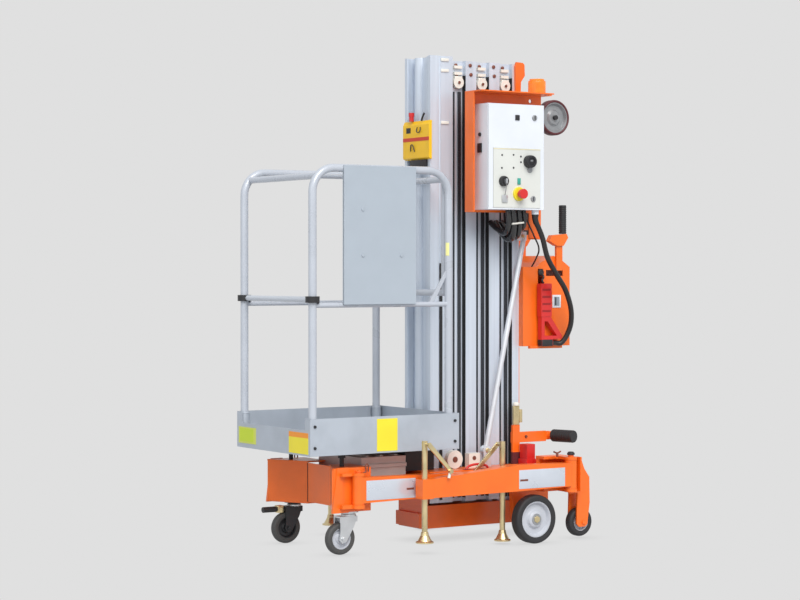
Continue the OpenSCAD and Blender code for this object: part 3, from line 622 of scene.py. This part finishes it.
def bay_chains(node, front, body, low, side, out):
    """Two dark chain strips, partly painted shade of the deep bay, and the seal in one side bay of a
    section.
    """
    for number, (start, end) in enumerate(CHAIN_AND_SHADE_SPANS):
        thin_on_side(f"{node}_chain_{number}_{side}", (front + start, front + end), (low, CHAIN_AND_SHADE_TOP),
                     BAY_WALL_Y, out, CHAIN_AND_BAY_SHADE, body, CHAIN_AND_SHADE_DEPTH)
    side_box(f"{node}_seal_{side}", (front + SEAL_SPAN[0], front + SEAL_SPAN[1]),
             (BAY_WALL_Y, FLANGE_Y - 0.0015), (low, SEAL_TOP), out, SEAL, body)


def head_fittings(node, front, body, hub_z, side, out):
    """Bolts, pulley hub and nylon guard near the top of a section."""
    axis = (0, out, 0)
    for number, (x, y, z) in enumerate(MAST_BOLTS):
        place = at(front + x, out * y, z)
        lathe_piece(f"{node}_bolt_{number}_{side}", place, axis, BOLT_PROFILE, BROWN_STEEL, body, 20)
    hub_x = front + HUB_X
    hub = at(hub_x, out * HUB_Y, hub_z)
    lathe_piece(f"{node}_hub_{side}", hub, axis, HUB_PROFILE, BROWN_STEEL, body, 20)
    side_box(f"{node}_guard_{side}", (hub_x - GUARD_HALF, hub_x + GUARD_HALF), GUARD_YS,
             (hub_z + GUARD_LOW, hub_z + GUARD_HIGH), out, NYLON, body, 0.002)


for node, body, low, hub_z in SECTIONS:
    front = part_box(node)[0].x - FRONT_X + TONGUE_REACH
    for side, out in SIDES:
        bay_chains(node, front, body, low, side, out)
        head_fittings(node, front, body, hub_z, side, out)

# Front section: nylon tabs and the hose on its sides
TAB_XS = (0.742, 0.780)
TAB_ZS = (1.989, 1.945, 1.730)
TAB_HALF = 0.006
HOSE_XS, HOSE_ZS = (0.736, 0.749), (0.172, 1.150)
for side, out in SIDES:
    for number, z in enumerate(TAB_ZS):
        thin_on_side(f"mast_4_tab_{number}_{side}", TAB_XS, (z - TAB_HALF, z + TAB_HALF), FLANGE_Y, out,
                     NYLON, "platform", 0.005, 0.001)
    thin_on_side(f"mast_4_hose_{side}", HOSE_XS, HOSE_ZS, FLANGE_Y, out, SEAL, "platform", 0.004, 0.001)
box_piece("mast_back_strip", at(1.1412, -0.094, 0.245), at(1.1445, 0.094, 0.795), ORANGE, "chassis")

# Control box: marks and plug on its faces, locks on the box and the panel
TO_VIEWER = (0, -1, 0)
BOX_LOW, BOX_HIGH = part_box("control_box")
BOX_FACE = -BOX_LOW.y
PANEL_FACE = BOX_FACE + 0.0015
thin_on_side("box_square", (0.972, 0.993), (1.736, 1.758), BOX_FACE, -1, DARK, "chassis", 0.004, 0.001)
thin_on_side("box_seam_left", (0.8365, 0.8380), (BOX_LOW.z + 0.024, BOX_HIGH.z - 0.004), BOX_FACE, -1,
             HUB_GREY, "chassis", 0.0004)
thin_on_side("panel_top_edge", (0.862, 1.100), (1.616, 1.6195), PANEL_FACE, -1, PALE, "chassis", SKIN)
thin_on_front("box_side_square", (-0.259, -0.232), (1.602, 1.640), BOX_LOW.x, DARK, "chassis", 0.005)
disc_piece("box_side_plug", Vector((BOX_LOW.x, -0.246, 1.676)), (-1, 0, 0), 0.008, 0.006, DARK, "chassis")
for name, x, z, face in (("box_lock", 1.070, 1.749, BOX_FACE), ("panel_lock", 1.062, 1.415, PANEL_FACE)):
    disc_piece(name, at(x, -face, z), TO_VIEWER, 0.012, 0.005, HUB_GREY, "chassis", 0.0015)
    thin_on_side(f"{name}_slot", (x - 0.002, x + 0.002), (z - 0.008, z + 0.008), face + 0.005, -1, DARK,
                 "chassis")

# Control panel: meter, key with tag, base of the stop button, lamp and screws
METER_X, METER_Z = 1.039, 1.568
METER_DEPTH = 0.0258
KEY_X, KEY_Z = 0.910, 1.485
KEY_DEPTH = 0.0154
STOP_X, STOP_Z = 0.988, 1.434
SCREWS = ((0.905, 1.592), (0.963, 1.594), (0.904, 1.539), (0.963, 1.541), (1.000, 1.588), (1.000, 1.565))


def on_panel(x, z, lift=0.0):
    """A point so far in front of the control panel."""
    return at(x, -PANEL_FACE - lift, z)


def panel_box(name, xs, zs, lifts, material, bevel=0.0):
    """A box on the control panel, between two distances in front of it."""
    return box_piece(name, on_panel(xs[0], zs[0], lifts[1]), on_panel(xs[1], zs[1], lifts[0]), material,
                     "chassis", bevel)


def knob(name, x, z, radius, depth):
    """A turned knob on the control panel with a cap in its face."""
    profile = [(0, 0), (radius, 0), (radius, depth * 0.7), (radius * 0.92, depth),
               (radius * 0.62, depth), (radius * 0.58, depth * 0.85), (0, depth * 0.85)]
    cap_place = on_panel(x, z, depth * 0.85)
    lathe_piece(name, on_panel(x, z), TO_VIEWER, profile, DARK, "chassis", 48)
    disc_piece(f"{name}_cap", cap_place, TO_VIEWER, radius * 0.55, SKIN, SEAL, "chassis")


knob("meter", METER_X, METER_Z, 0.0262, METER_DEPTH)
knob("key_switch", KEY_X, KEY_Z, 0.0212, KEY_DEPTH)
panel_box("meter_mark", (METER_X - 0.006, METER_X + 0.006), (METER_Z, METER_Z + 0.006), (0.0225, 0.0240),
          HUB_GREY)
disc_piece("meter_lens", on_panel(METER_X + 0.006, METER_Z - 0.034), TO_VIEWER, 0.012, 0.004, HUB_GREY,
           "chassis")
panel_box("key_blade", (KEY_X - 0.003, KEY_X + 0.003), (KEY_Z - 0.010, KEY_Z + 0.010), (0.010, 0.030),
          BRIGHT, 0.001)
key_line = [on_panel(KEY_X, KEY_Z - 0.008, 0.024), on_panel(KEY_X + 0.004, KEY_Z - 0.030, 0.016),
            on_panel(KEY_X + 0.006, KEY_Z - 0.056, 0.006)]
tube_piece("key_cord", key_line, 0.0015, HUB_GREY, "chassis", 8)
panel_box("key_tag", (KEY_X - 0.008, KEY_X + 0.020), (KEY_Z - 0.086, KEY_Z - 0.056), (0.003, 0.006),
          BRIGHT, 0.001)
disc_piece("stop_base", on_panel(STOP_X, STOP_Z), TO_VIEWER, 0.0285, 0.0088, LABEL, "chassis", 0.002)
panel_box("lamp", (0.982, 0.997), (1.473, 1.499), (0.0, 0.004), GREEN, 0.001)
for number, (x, z) in enumerate(SCREWS):
    disc_piece(f"panel_screw_{number}", on_panel(x, z), TO_VIEWER, 0.004, 0.0015, DARK, "chassis", 0.0005)

# Cables under the control box: a loose bundle that goes back to the mast, and one thin lead
BOX_UNDER = BOX_LOW.z
CABLE_ROOT = BOX_UNDER + 0.018
# start along X, sag and radius of each cable in the bundle
BUNDLE = ((0.975, 0.075, 0.012), (1.000, 0.100, 0.014), (1.030, 0.090, 0.012), (1.055, 0.060, 0.010))
for number, (x, sag, radius) in enumerate(BUNDLE):
    points = path((x, -0.245, CABLE_ROOT), (x + 0.004, -0.246, BOX_UNDER - sag * 0.5),
                  (x + 0.012, -0.215, BOX_UNDER - sag), (x + 0.018, -0.150, BOX_UNDER - sag * 0.8),
                  (x + 0.018, -0.096, BOX_UNDER - 0.030))
    tube_piece(f"bundle_{number}", points, radius, GLOSS_BLACK, "chassis", 16)
clip_line = path((0.985, -0.262, BOX_UNDER - 0.040), (1.046, -0.258, BOX_UNDER - 0.034))
tube_piece("bundle_clip", clip_line, 0.004, NYLON, "chassis", 8)
lead_line = path((1.075, -0.225, CABLE_ROOT), (1.090, -0.226, 1.325), (1.128, -0.222, 1.262),
                 (1.168, -0.200, 1.212), (1.190, -0.150, 1.170), (1.196, -0.112, 1.136))
tube_piece("thin_lead", lead_line, 0.0035, BLACK_RUBBER, "chassis", 8)


# Beacon lens
def ribbed_lens(name, node, share, body, steps=96):
    """A lens with fine upright ribs round a beacon of the construction."""
    centre, half = middle(node), half_size(node)
    bm = bmesh.new()
    rings = []
    for z, grow in ((-0.70, 1.0), (0.55, 1.0), (0.78, 0.965)):
        ring = []
        for i in range(steps):
            angle = 2 * math.pi * i / steps
            rib = 0.012 if i % 4 < 2 else -0.004
            r = half.x * share * grow * (1.0 + rib)
            place = Vector((r * math.cos(angle), r * math.sin(angle), z * half.z))
            ring.append(bm.verts.new(centre + place))
        rings.append(ring)
    for lower, upper in zip(rings, rings[1:]):
        for i in range(steps):
            j = (i + 1) % steps
            bm.faces.new((lower[i], lower[j], upper[j], upper[i]))
    bm.faces.new(rings[-1])
    bm.faces.new(list(reversed(rings[0])))
    return mesh_piece(name, bm, AMBER, body, smooth=False)


ribbed_lens("beacon_lens", "beacon", 0.868, "chassis")

# Rear cover: gauge and hook
COVER_FACE = 0.125
GAUGE = (
    ("gauge_frame", (1.294, 1.339), (0.962, 1.016), COVER_FACE, WHITE, 0.003, 0.001),
    ("gauge_window", (1.302, 1.331), (0.970, 1.008), COVER_FACE + 0.003, GAUGE_GREY, 0.0006, 0.0),
    ("gauge_bar", (1.308, 1.314), (0.972, 1.006), COVER_FACE + 0.0036, DARK, 0.0005, 0.0),
)
for name, xs, zs, face, material, thick, bevel in GAUGE:
    thin_on_side(name, xs, zs, face, -1, material, "chassis", thick, bevel)
disc_piece("hook_head", at(1.232, -COVER_FACE, 1.112), TO_VIEWER, 0.014, 0.010, DARK, "chassis", 0.003)
hook_line = path((1.232, -0.132, 1.112), (1.238, -0.140, 1.092), (1.226, -0.146, 1.078),
                 (1.232, -0.148, 1.066))
tube_piece("hook", hook_line, 0.004, DARK, "chassis", 8)

# Battery plug: rubber strap round its foot and ribs on its face
PLUG_LOW, PLUG_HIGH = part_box("battery_plug")
PLUG_X = PLUG_LOW.x - FRONT_X
RIB_ZS = (0.945, 0.975, 1.005, 1.035)
box_piece("plug_strap", Vector((PLUG_LOW.x + 0.0025, PLUG_LOW.y - SKIN, PLUG_LOW.z - SKIN)),
          Vector((PLUG_LOW.x + 0.0605, PLUG_HIGH.y + SKIN, PLUG_LOW.z + 0.028)), BLACK_RUBBER, "chassis",
          0.003)
for number, z in enumerate(RIB_ZS):
    thin_on_side(f"plug_rib_{number}", (PLUG_X + 0.006, PLUG_X + 0.049), (z, z + 0.008),
                 -PLUG_LOW.y - SKIN, -1, DARK_RED, "chassis", 0.0012)

# Cable from the control box to the plug, along the same points as in the construction.
# Each place is its X, how far inward from the gland it lies and its share of the way down.
GLAND = (1.095, 0.272)
STRAP_X = PLUG_X + 0.061
COVER_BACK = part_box("rear_cover")[1].x - FRONT_X
CABLE_TOP, CABLE_END = BOX_LOW.z - 0.0003, PLUG_LOW.z + 0.012
CABLE_PLACES = ((GLAND[0], 0.0, 0.0), (GLAND[0], 0.0, 0.015), (GLAND[0], 0.0, 0.03),
                (GLAND[0] + 0.006, 0.0, 0.065), (GLAND[0] + 0.021, 0.001, 0.11),
                (GLAND[0] + 0.044, 0.005, 0.19), (GLAND[0] + 0.075, 0.014, 0.33),
                (COVER_BACK - 0.161, 0.028, 0.46), (COVER_BACK - 0.102, 0.044, 0.58),
                (COVER_BACK - 0.058, 0.064, 0.72), (COVER_BACK - 0.041, 0.084, 0.84),
                (COVER_BACK - 0.049, 0.102, 0.94), (COVER_BACK - 0.070, 0.115, 1.0),
                (STRAP_X + 0.026, 0.123, 1.0), (STRAP_X + 0.013, 0.123, 1.0),
                (STRAP_X + 0.0003, 0.123, 1.0))
CABLE_RADIUS = 0.011
CABLE_STEPS = 6
RELIEF_SPANS = 3
RELIEF_RADIUS, RELIEF_END_RADIUS = 0.0148, 0.0119


def smooth_line(points, steps):
    """Points on a smooth curve through the given ones, with so many steps between neighbours."""
    line = []
    last = len(points) - 1
    for i in range(last):
        p0, p1, p2, p3 = (points[max(0, min(last, i + k))] for k in (-1, 0, 1, 2))
        for k in range(steps):
            t = k / steps
            line.append(0.5 * ((2 * p1) + (p2 - p0) * t + (2 * p0 - 5 * p1 + 4 * p2 - p3) * t * t
                               + (3 * p1 - p0 - 3 * p2 + p3) * t * t * t))
    return [*line, points[last]]


cable_drop = CABLE_END - CABLE_TOP
cable_knots = [at(x, inward - GLAND[1], CABLE_TOP + share * cable_drop)
               for x, inward, share in CABLE_PLACES]
cable_line = smooth_line(cable_knots, CABLE_STEPS)
plug_cord = line_tube("plug_cord", cable_line, CABLE_RADIUS, CABLE_RADIUS, CABLE_BLACK, "chassis")
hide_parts("plug_cable")

# The tapered strain relief sits round the first three spans of the cable, below the box.
relief_line = cable_line[:RELIEF_SPANS * CABLE_STEPS + 1]
line_tube("cable_relief", relief_line, RELIEF_RADIUS, RELIEF_END_RADIUS, CABLE_BLACK, "chassis")

# Outriggers: blank plates with a short mark on the arms
UP = (0, 0, 1)
OUTER_FACE = -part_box("outer_arm_near")[0].y - 0.001
INNER_FACE = -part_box("inner_arm_near")[0].y - 0.001
PLATE_THICK = 0.0012
PLATE_EDGE = 0.0004
MARK_THICK = 0.0004
# arm, face, plate's span along X and Z, mark's span along X and Z
ARM_PLATES = (("outer", OUTER_FACE, (0.931, 1.165), (0.231, 0.308), (0.936, 0.976), (0.262, 0.270)),
              ("inner", INNER_FACE, (0.244, 0.474), (0.218, 0.296), (0.432, 0.466), (0.250, 0.258)))
for side, out in SIDES:
    for arm, face, plate_xs, plate_zs, mark_xs, mark_zs in ARM_PLATES:
        body = f"{arm}_arm_{side}"
        thin_on_side(f"{arm}_plate_{side}", plate_xs, plate_zs, face, out, PLATE, body, PLATE_THICK,
                     PLATE_EDGE)
        thin_on_side(f"{arm}_plate_mark_{side}", mark_xs, mark_zs, face + PLATE_THICK, out, BROWN_STEEL,
                     body, MARK_THICK)

# Hinges of the outriggers: caps of the pins, rivets and the locking pins on the deck
# name, place, radius, depth, material and rounding
PIN_CAPS = (("outer_pin_cap", (1.215, 0.360, 0.356), 0.016, 0.013, DARK, 0.006),
            ("inner_pin_cap", (0.222, 0.290, 0.332), 0.015, 0.005, ORANGE, 0.002))
FRONT_LOCK = (0.262, 0.278, 0.3265)
REAR_LOCK = (1.163, 0.335, 0.348)
RIVET_Y = 0.2995
RIVET_XS = (1.150, 1.180)
RIVET_ZS = (0.209, 0.342)


def mirrored(place, out):
    """A place of the near side given by its distance from the middle plane, on either side."""
    x, y, z = place
    return at(x, out * y, z)


def offsets(start, *steps):
    """Points at the given steps from a start."""
    return [start + Vector(step) for step in steps]


def hinge_fittings(side, out):
    """Pin caps, locking pins and rivets of one side."""
    for name, place, radius, depth, material, rim in PIN_CAPS:
        disc_piece(f"{name}_{side}", mirrored(place, out), UP, radius, depth, material, "chassis", rim)
    front_line = offsets(mirrored(FRONT_LOCK, out), (-0.020, 0, -0.004), (0, 0, 0.002), (0.003, 0, 0.030),
                         (0.010, 0, 0.030), (0.013, 0, 0.002))
    tube_piece(f"front_lock_pin_{side}", front_line, 0.003, BROWN_STEEL, "chassis", 8)
    rear = mirrored(REAR_LOCK, out)
    tube_piece(f"rear_lock_pin_{side}", offsets(rear, (0, 0, 0), (0, 0, 0.016)), 0.005, BROWN_STEEL,
               "chassis", 12)
    handle_line = offsets(rear, (-0.018, 0, 0.022), (0, 0, 0.016), (0.018, 0, 0.022))
    tube_piece(f"rear_lock_handle_{side}", handle_line, 0.0035, BROWN_STEEL, "chassis", 8)
    for z in RIVET_ZS:
        for x in RIVET_XS:
            disc_piece(f"hinge_rivet_{side}_{x}_{z}", at(x, out * RIVET_Y, z), (0, out, 0), 0.0045, 0.002,
                       ORANGE, "chassis")


# Deck: red pull ring over a dark red sheet of painted shade for its slot, and the bracket and foot of the
# post behind it
PULL_RING = (0.83, 0.232, 0.3065)
POST_CAP = (1.102, 0.128, 0.552)
POST_YS = (0.122, 0.134)
# name, span along X, Y and Z, material and rounding
POST_BOXES = (
    ("handle_bracket", (1.086, 1.118), POST_YS, (0.4702, 0.552), ZINC, 0.003),
    ("handle_bracket_lip", (1.118, 1.132), POST_YS, (0.480, 0.535), ZINC, 0.002),
    ("post_foot", (1.081, 1.119), (0.1215, 0.1345), (0.3065, 0.356), MAROON, 0.0),
)


def deck_fittings(side, out):
    """Pull ring, handle bracket and foot of one side."""
    ring = mirrored(PULL_RING, out)
    # The slot is a flat dark red sheet: painted shade of the opening under the ring.
    slot_low, slot_high = offsets(ring, (-0.066, -0.010, -0.0005), (0.066, 0.010, 0.0015))
    box_piece(f"shaded_handle_slot_{side}", slot_low, slot_high, DARK_RED, "chassis", 0.001)
    ring_line = offsets(ring, (-0.055, 0, 0.002), (-0.045, 0, 0.012), (0.045, 0, 0.012),
                        (0.055, 0, 0.002))
    tube_piece(f"red_handle_{side}", ring_line, 0.005, RED, "chassis", 12)
    for name, xs, ys, zs, material, bevel in POST_BOXES:
        side_box(f"{name}_{side}", xs, ys, zs, out, material, "chassis", bevel)
    cap = mirrored(POST_CAP, out)
    disc_piece(f"handle_cap_{side}", cap, UP, 0.014, 0.014, NYLON, "chassis", 0.005)


# Bolts and guides on both sides of the mast: name, place, width across flats, material
SIDE_BOLTS = (("handle_bolt", (1.150, 0.134, 0.420), 0.010, BROWN_STEEL),
              ("brace_bolt", (0.930, 0.165, 0.374), 0.016, ZINC),
              ("brace_head_bolt", (1.140, 0.124, 1.265), 0.012, ZINC))
# name, place, radius, depth and rounding
SIDE_DISCS = (("guide_bore", (0.856, 0.175, 0.346), 0.009, 0.001, 0.0004),
              ("roller_bolt", (0.762, 0.172, 0.344), 0.012, 0.003, 0.001))
for side, out in SIDES:
    hinge_fittings(side, out)
    deck_fittings(side, out)
    for name, place, across, material in SIDE_BOLTS:
        hex_bolt(f"{name}_{side}", mirrored(place, out), (0, out, 0), across, material, "chassis")
    for name, place, radius, depth, rim in SIDE_DISCS:
        disc_piece(f"{name}_{side}", mirrored(place, out), (0, out, 0), radius, depth, BROWN_STEEL,
                   "chassis", rim)

# Grip of the near outer crank, and the seam in the front plate
GRIP_END = at(0.583, -0.398, 0.322)
tube_piece("crank_grip", offsets(GRIP_END, (0, 0, 0), (-0.006, 0, -0.026)), 0.006, NYLON,
           "outer_jack_near", 12)
box_piece("front_seam", at(0.2105, 0.0835, 0.181), at(0.2125, 0.0865, 0.337), SEAL, "chassis")

# Casters: axle bolts, swivel races, and the clamp and grip of the brake bar
CASTER_Y = 0.214
AXLE_X, AXLE_Z = 0.182, 0.064
FORK_HALF = 0.026
SWIVEL_X, RACE_Z = 0.222, 0.1520
BRAKE_Z = 0.142
CLAMP_HALF = 0.015
AXLE_MATERIALS = {"near": BRIGHT, "far": DARK}
for side, out in SIDES:
    fork = f"caster_fork_{side}"
    for face in (-1, 1):
        place = at(AXLE_X, out * CASTER_Y + face * FORK_HALF, AXLE_Z)
        hex_bolt(f"{fork}_axle_{face}", place, (0, face, 0), 0.013, AXLE_MATERIALS[side], fork)
    race = at(SWIVEL_X, out * CASTER_Y, RACE_Z)
    disc_piece(f"{fork}_race", race, UP, 0.030, 0.009, BRIGHT, fork, 0.003)
box_piece("brake_clamp", at(0.138, CASTER_Y - CLAMP_HALF, BRAKE_Z - CLAMP_HALF),
          at(0.166, CASTER_Y + CLAMP_HALF, BRAKE_Z + CLAMP_HALF), ZINC, "caster_fork_far", 0.002)
brake_line = path((0.075, CASTER_Y, BRAKE_Z), (0.132, CASTER_Y, BRAKE_Z))
tube_piece("brake_grip", brake_line, 0.0118, BLACK_RUBBER, "caster_fork_far", 24)

# Rubber sleeves over the hand grips
GRIP_CAP = 0.0015
UPPER_RADIUS = 0.015
LOW_RADIUS = 0.025
LOW_GRIP = ((1.2825, 0.1513, 0.420), (1.3137, 0.2510, 0.420))
UPPER_LOW, UPPER_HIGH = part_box("upper_grips")


def ribbed_grip(name, start, end, radius, body, pitch=0.009):
    """A rubber sleeve with rings over a straight grip."""
    axis = end - start
    count = int(axis.length / pitch)
    step = axis.length / count
    profile = [(0, -GRIP_CAP), (radius * 0.92, -GRIP_CAP)]
    for i in range(count):
        base = i * step
        profile += [(radius + 0.0014, base + step * 0.15), (radius + 0.0014, base + step * 0.60),
                    (radius + 0.0002, base + step * 0.75), (radius + 0.0002, base + step * 0.95)]
    profile += [(radius * 0.92, axis.length + GRIP_CAP), (0, axis.length + GRIP_CAP)]
    return lathe_piece(name, start, axis, profile, BLACK_RUBBER, body, 40)


upper_x = (UPPER_LOW.x + UPPER_HIGH.x) / 2
for side, out in SIDES:
    upper_y = out * (UPPER_HIGH.y - UPPER_RADIUS)
    upper_start = Vector((upper_x, upper_y, UPPER_LOW.z + 0.002))
    upper_end = Vector((upper_x, upper_y, UPPER_HIGH.z - GRIP_CAP))
    low_start, low_end = (mirrored(place, out) for place in LOW_GRIP)
    ribbed_grip(f"upper_sleeve_{side}", upper_start, upper_end, UPPER_RADIUS, "chassis")
    ribbed_grip(f"low_sleeve_{side}", low_start, low_end, LOW_RADIUS, "chassis", 0.011)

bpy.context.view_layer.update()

# Floor, background and light
BACKGROUND = (0.745, 0.745, 0.745)
FLOOR_SIZE = 40
FLOOR_DROP = 0.0005
SKY_COLOUR = (0.80, 0.86, 0.95)
SKY_STRENGTH = 0.62


def seen_ray(tree):
    """One where a ray comes from the camera, a reflection or a clear surface, else zero."""
    ray = tree.nodes.new("ShaderNodeLightPath")
    seen = ray.outputs["Is Camera Ray"]
    for kind in ("Is Glossy Ray", "Is Transmission Ray"):
        either = tree.nodes.new("ShaderNodeMath")
        either.operation = "MAXIMUM"
        tree.links.new(seen, either.inputs[0])
        tree.links.new(ray.outputs[kind], either.inputs[1])
        seen = either.outputs["Value"]
    return seen


def floor_material():
    """Background colour to the camera, with a painted contact shadow that darkens it softly where
    something stands on it.
    """
    mat, tree, shader = new_material("floor")
    shader.inputs["Base Color"].default_value = (0.6, 0.6, 0.6, 1)
    shader.inputs["Roughness"].default_value = 0.9
    # Painted contact shadow: ambient occlusion dims the floor's glow near the parts.
    near = tree.nodes.new("ShaderNodeAmbientOcclusion")
    near.inputs["Distance"].default_value = 0.10
    near.samples = 8
    lift = tree.nodes.new("ShaderNodeMapRange")
    lift.inputs["To Min"].default_value = 0.80
    lift.inputs["To Max"].default_value = 1.0
    tree.links.new(near.outputs["AO"], lift.inputs["Value"])
    glow = tree.nodes.new("ShaderNodeEmission")
    glow.inputs["Color"].default_value = (*BACKGROUND, 1)
    tree.links.new(lift.outputs["Result"], glow.inputs["Strength"])
    mix = tree.nodes.new("ShaderNodeMixShader")
    tree.links.new(seen_ray(tree), mix.inputs["Fac"])
    tree.links.new(shader.outputs["BSDF"], mix.inputs[1])
    tree.links.new(glow.outputs["Emission"], mix.inputs[2])
    tree.links.new(mix.outputs["Shader"], tree.nodes["Material Output"].inputs["Surface"])
    return mat


def sky_world():
    """Soft light from the sky, with the plain background where it is seen."""
    world = bpy.data.worlds.new("world")
    world.use_nodes = True
    tree = world.node_tree
    light = tree.nodes["Background"]
    light.inputs["Color"].default_value = (*SKY_COLOUR, 1)
    light.inputs["Strength"].default_value = SKY_STRENGTH
    backdrop = tree.nodes.new("ShaderNodeBackground")
    backdrop.inputs["Color"].default_value = (*BACKGROUND, 1)
    backdrop.inputs["Strength"].default_value = 1.0
    choose = tree.nodes.new("ShaderNodeMixShader")
    tree.links.new(seen_ray(tree), choose.inputs["Fac"])
    tree.links.new(light.outputs["Background"], choose.inputs[1])
    tree.links.new(backdrop.outputs["Background"], choose.inputs[2])
    tree.links.new(choose.outputs["Shader"], tree.nodes["World Output"].inputs["Surface"])
    return world


def aimed_lamp(name, data, location, target, energy, colour):
    """Places a light and turns it to its target."""
    data.energy = energy
    data.color = colour
    light = bpy.data.objects.new(name, data)
    light.location = location
    light.rotation_euler = (Vector(target) - Vector(location)).to_track_quat("-Z", "Y").to_euler()
    bpy.context.scene.collection.objects.link(light)


bpy.ops.mesh.primitive_plane_add(size=FLOOR_SIZE, location=(0, 0, -FLOOR_DROP))
floor = bpy.context.object
floor.name = "floor"
floor.data.materials.append(floor_material())
bpy.context.scene.world = sky_world()

sun_data = bpy.data.lights.new("sun", "SUN")
sun_data.angle = math.radians(40)
aimed_lamp("sun", sun_data, (-1.2, -4.0, 4.6), (0, 0, 0.9), 2.7, (1.0, 0.98, 0.96))
fill_data = bpy.data.lights.new("fill", "AREA")
fill_data.size = 3.0
aimed_lamp("fill", fill_data, (-4.5, -2.0, 2.6), (0, 0, 1.0), 22, (0.92, 0.96, 1.0))

# Camera, found from the photograph's perspective
EYE = at(-4.157, -7.345, 1.1205)
YAW, PITCH = math.radians(32.95), math.radians(-0.80)
LENS_PX, WIDTH_PX, SENSOR_MM = 2120.1, 800.0, 36.0
look = Vector((math.sin(YAW) * math.cos(PITCH), math.cos(YAW) * math.cos(PITCH), math.sin(PITCH)))
camera_data = bpy.data.cameras.new("camera")
camera_data.sensor_width = SENSOR_MM
camera_data.lens = LENS_PX / WIDTH_PX * SENSOR_MM
camera_data.clip_end = 100
camera = bpy.data.objects.new("camera", camera_data)
camera.location = EYE
camera.rotation_euler = look.to_track_quat("-Z", "Y").to_euler()
bpy.context.scene.collection.objects.link(camera)
bpy.context.scene.camera = camera

bpy.context.scene.view_settings.view_transform = "Standard"
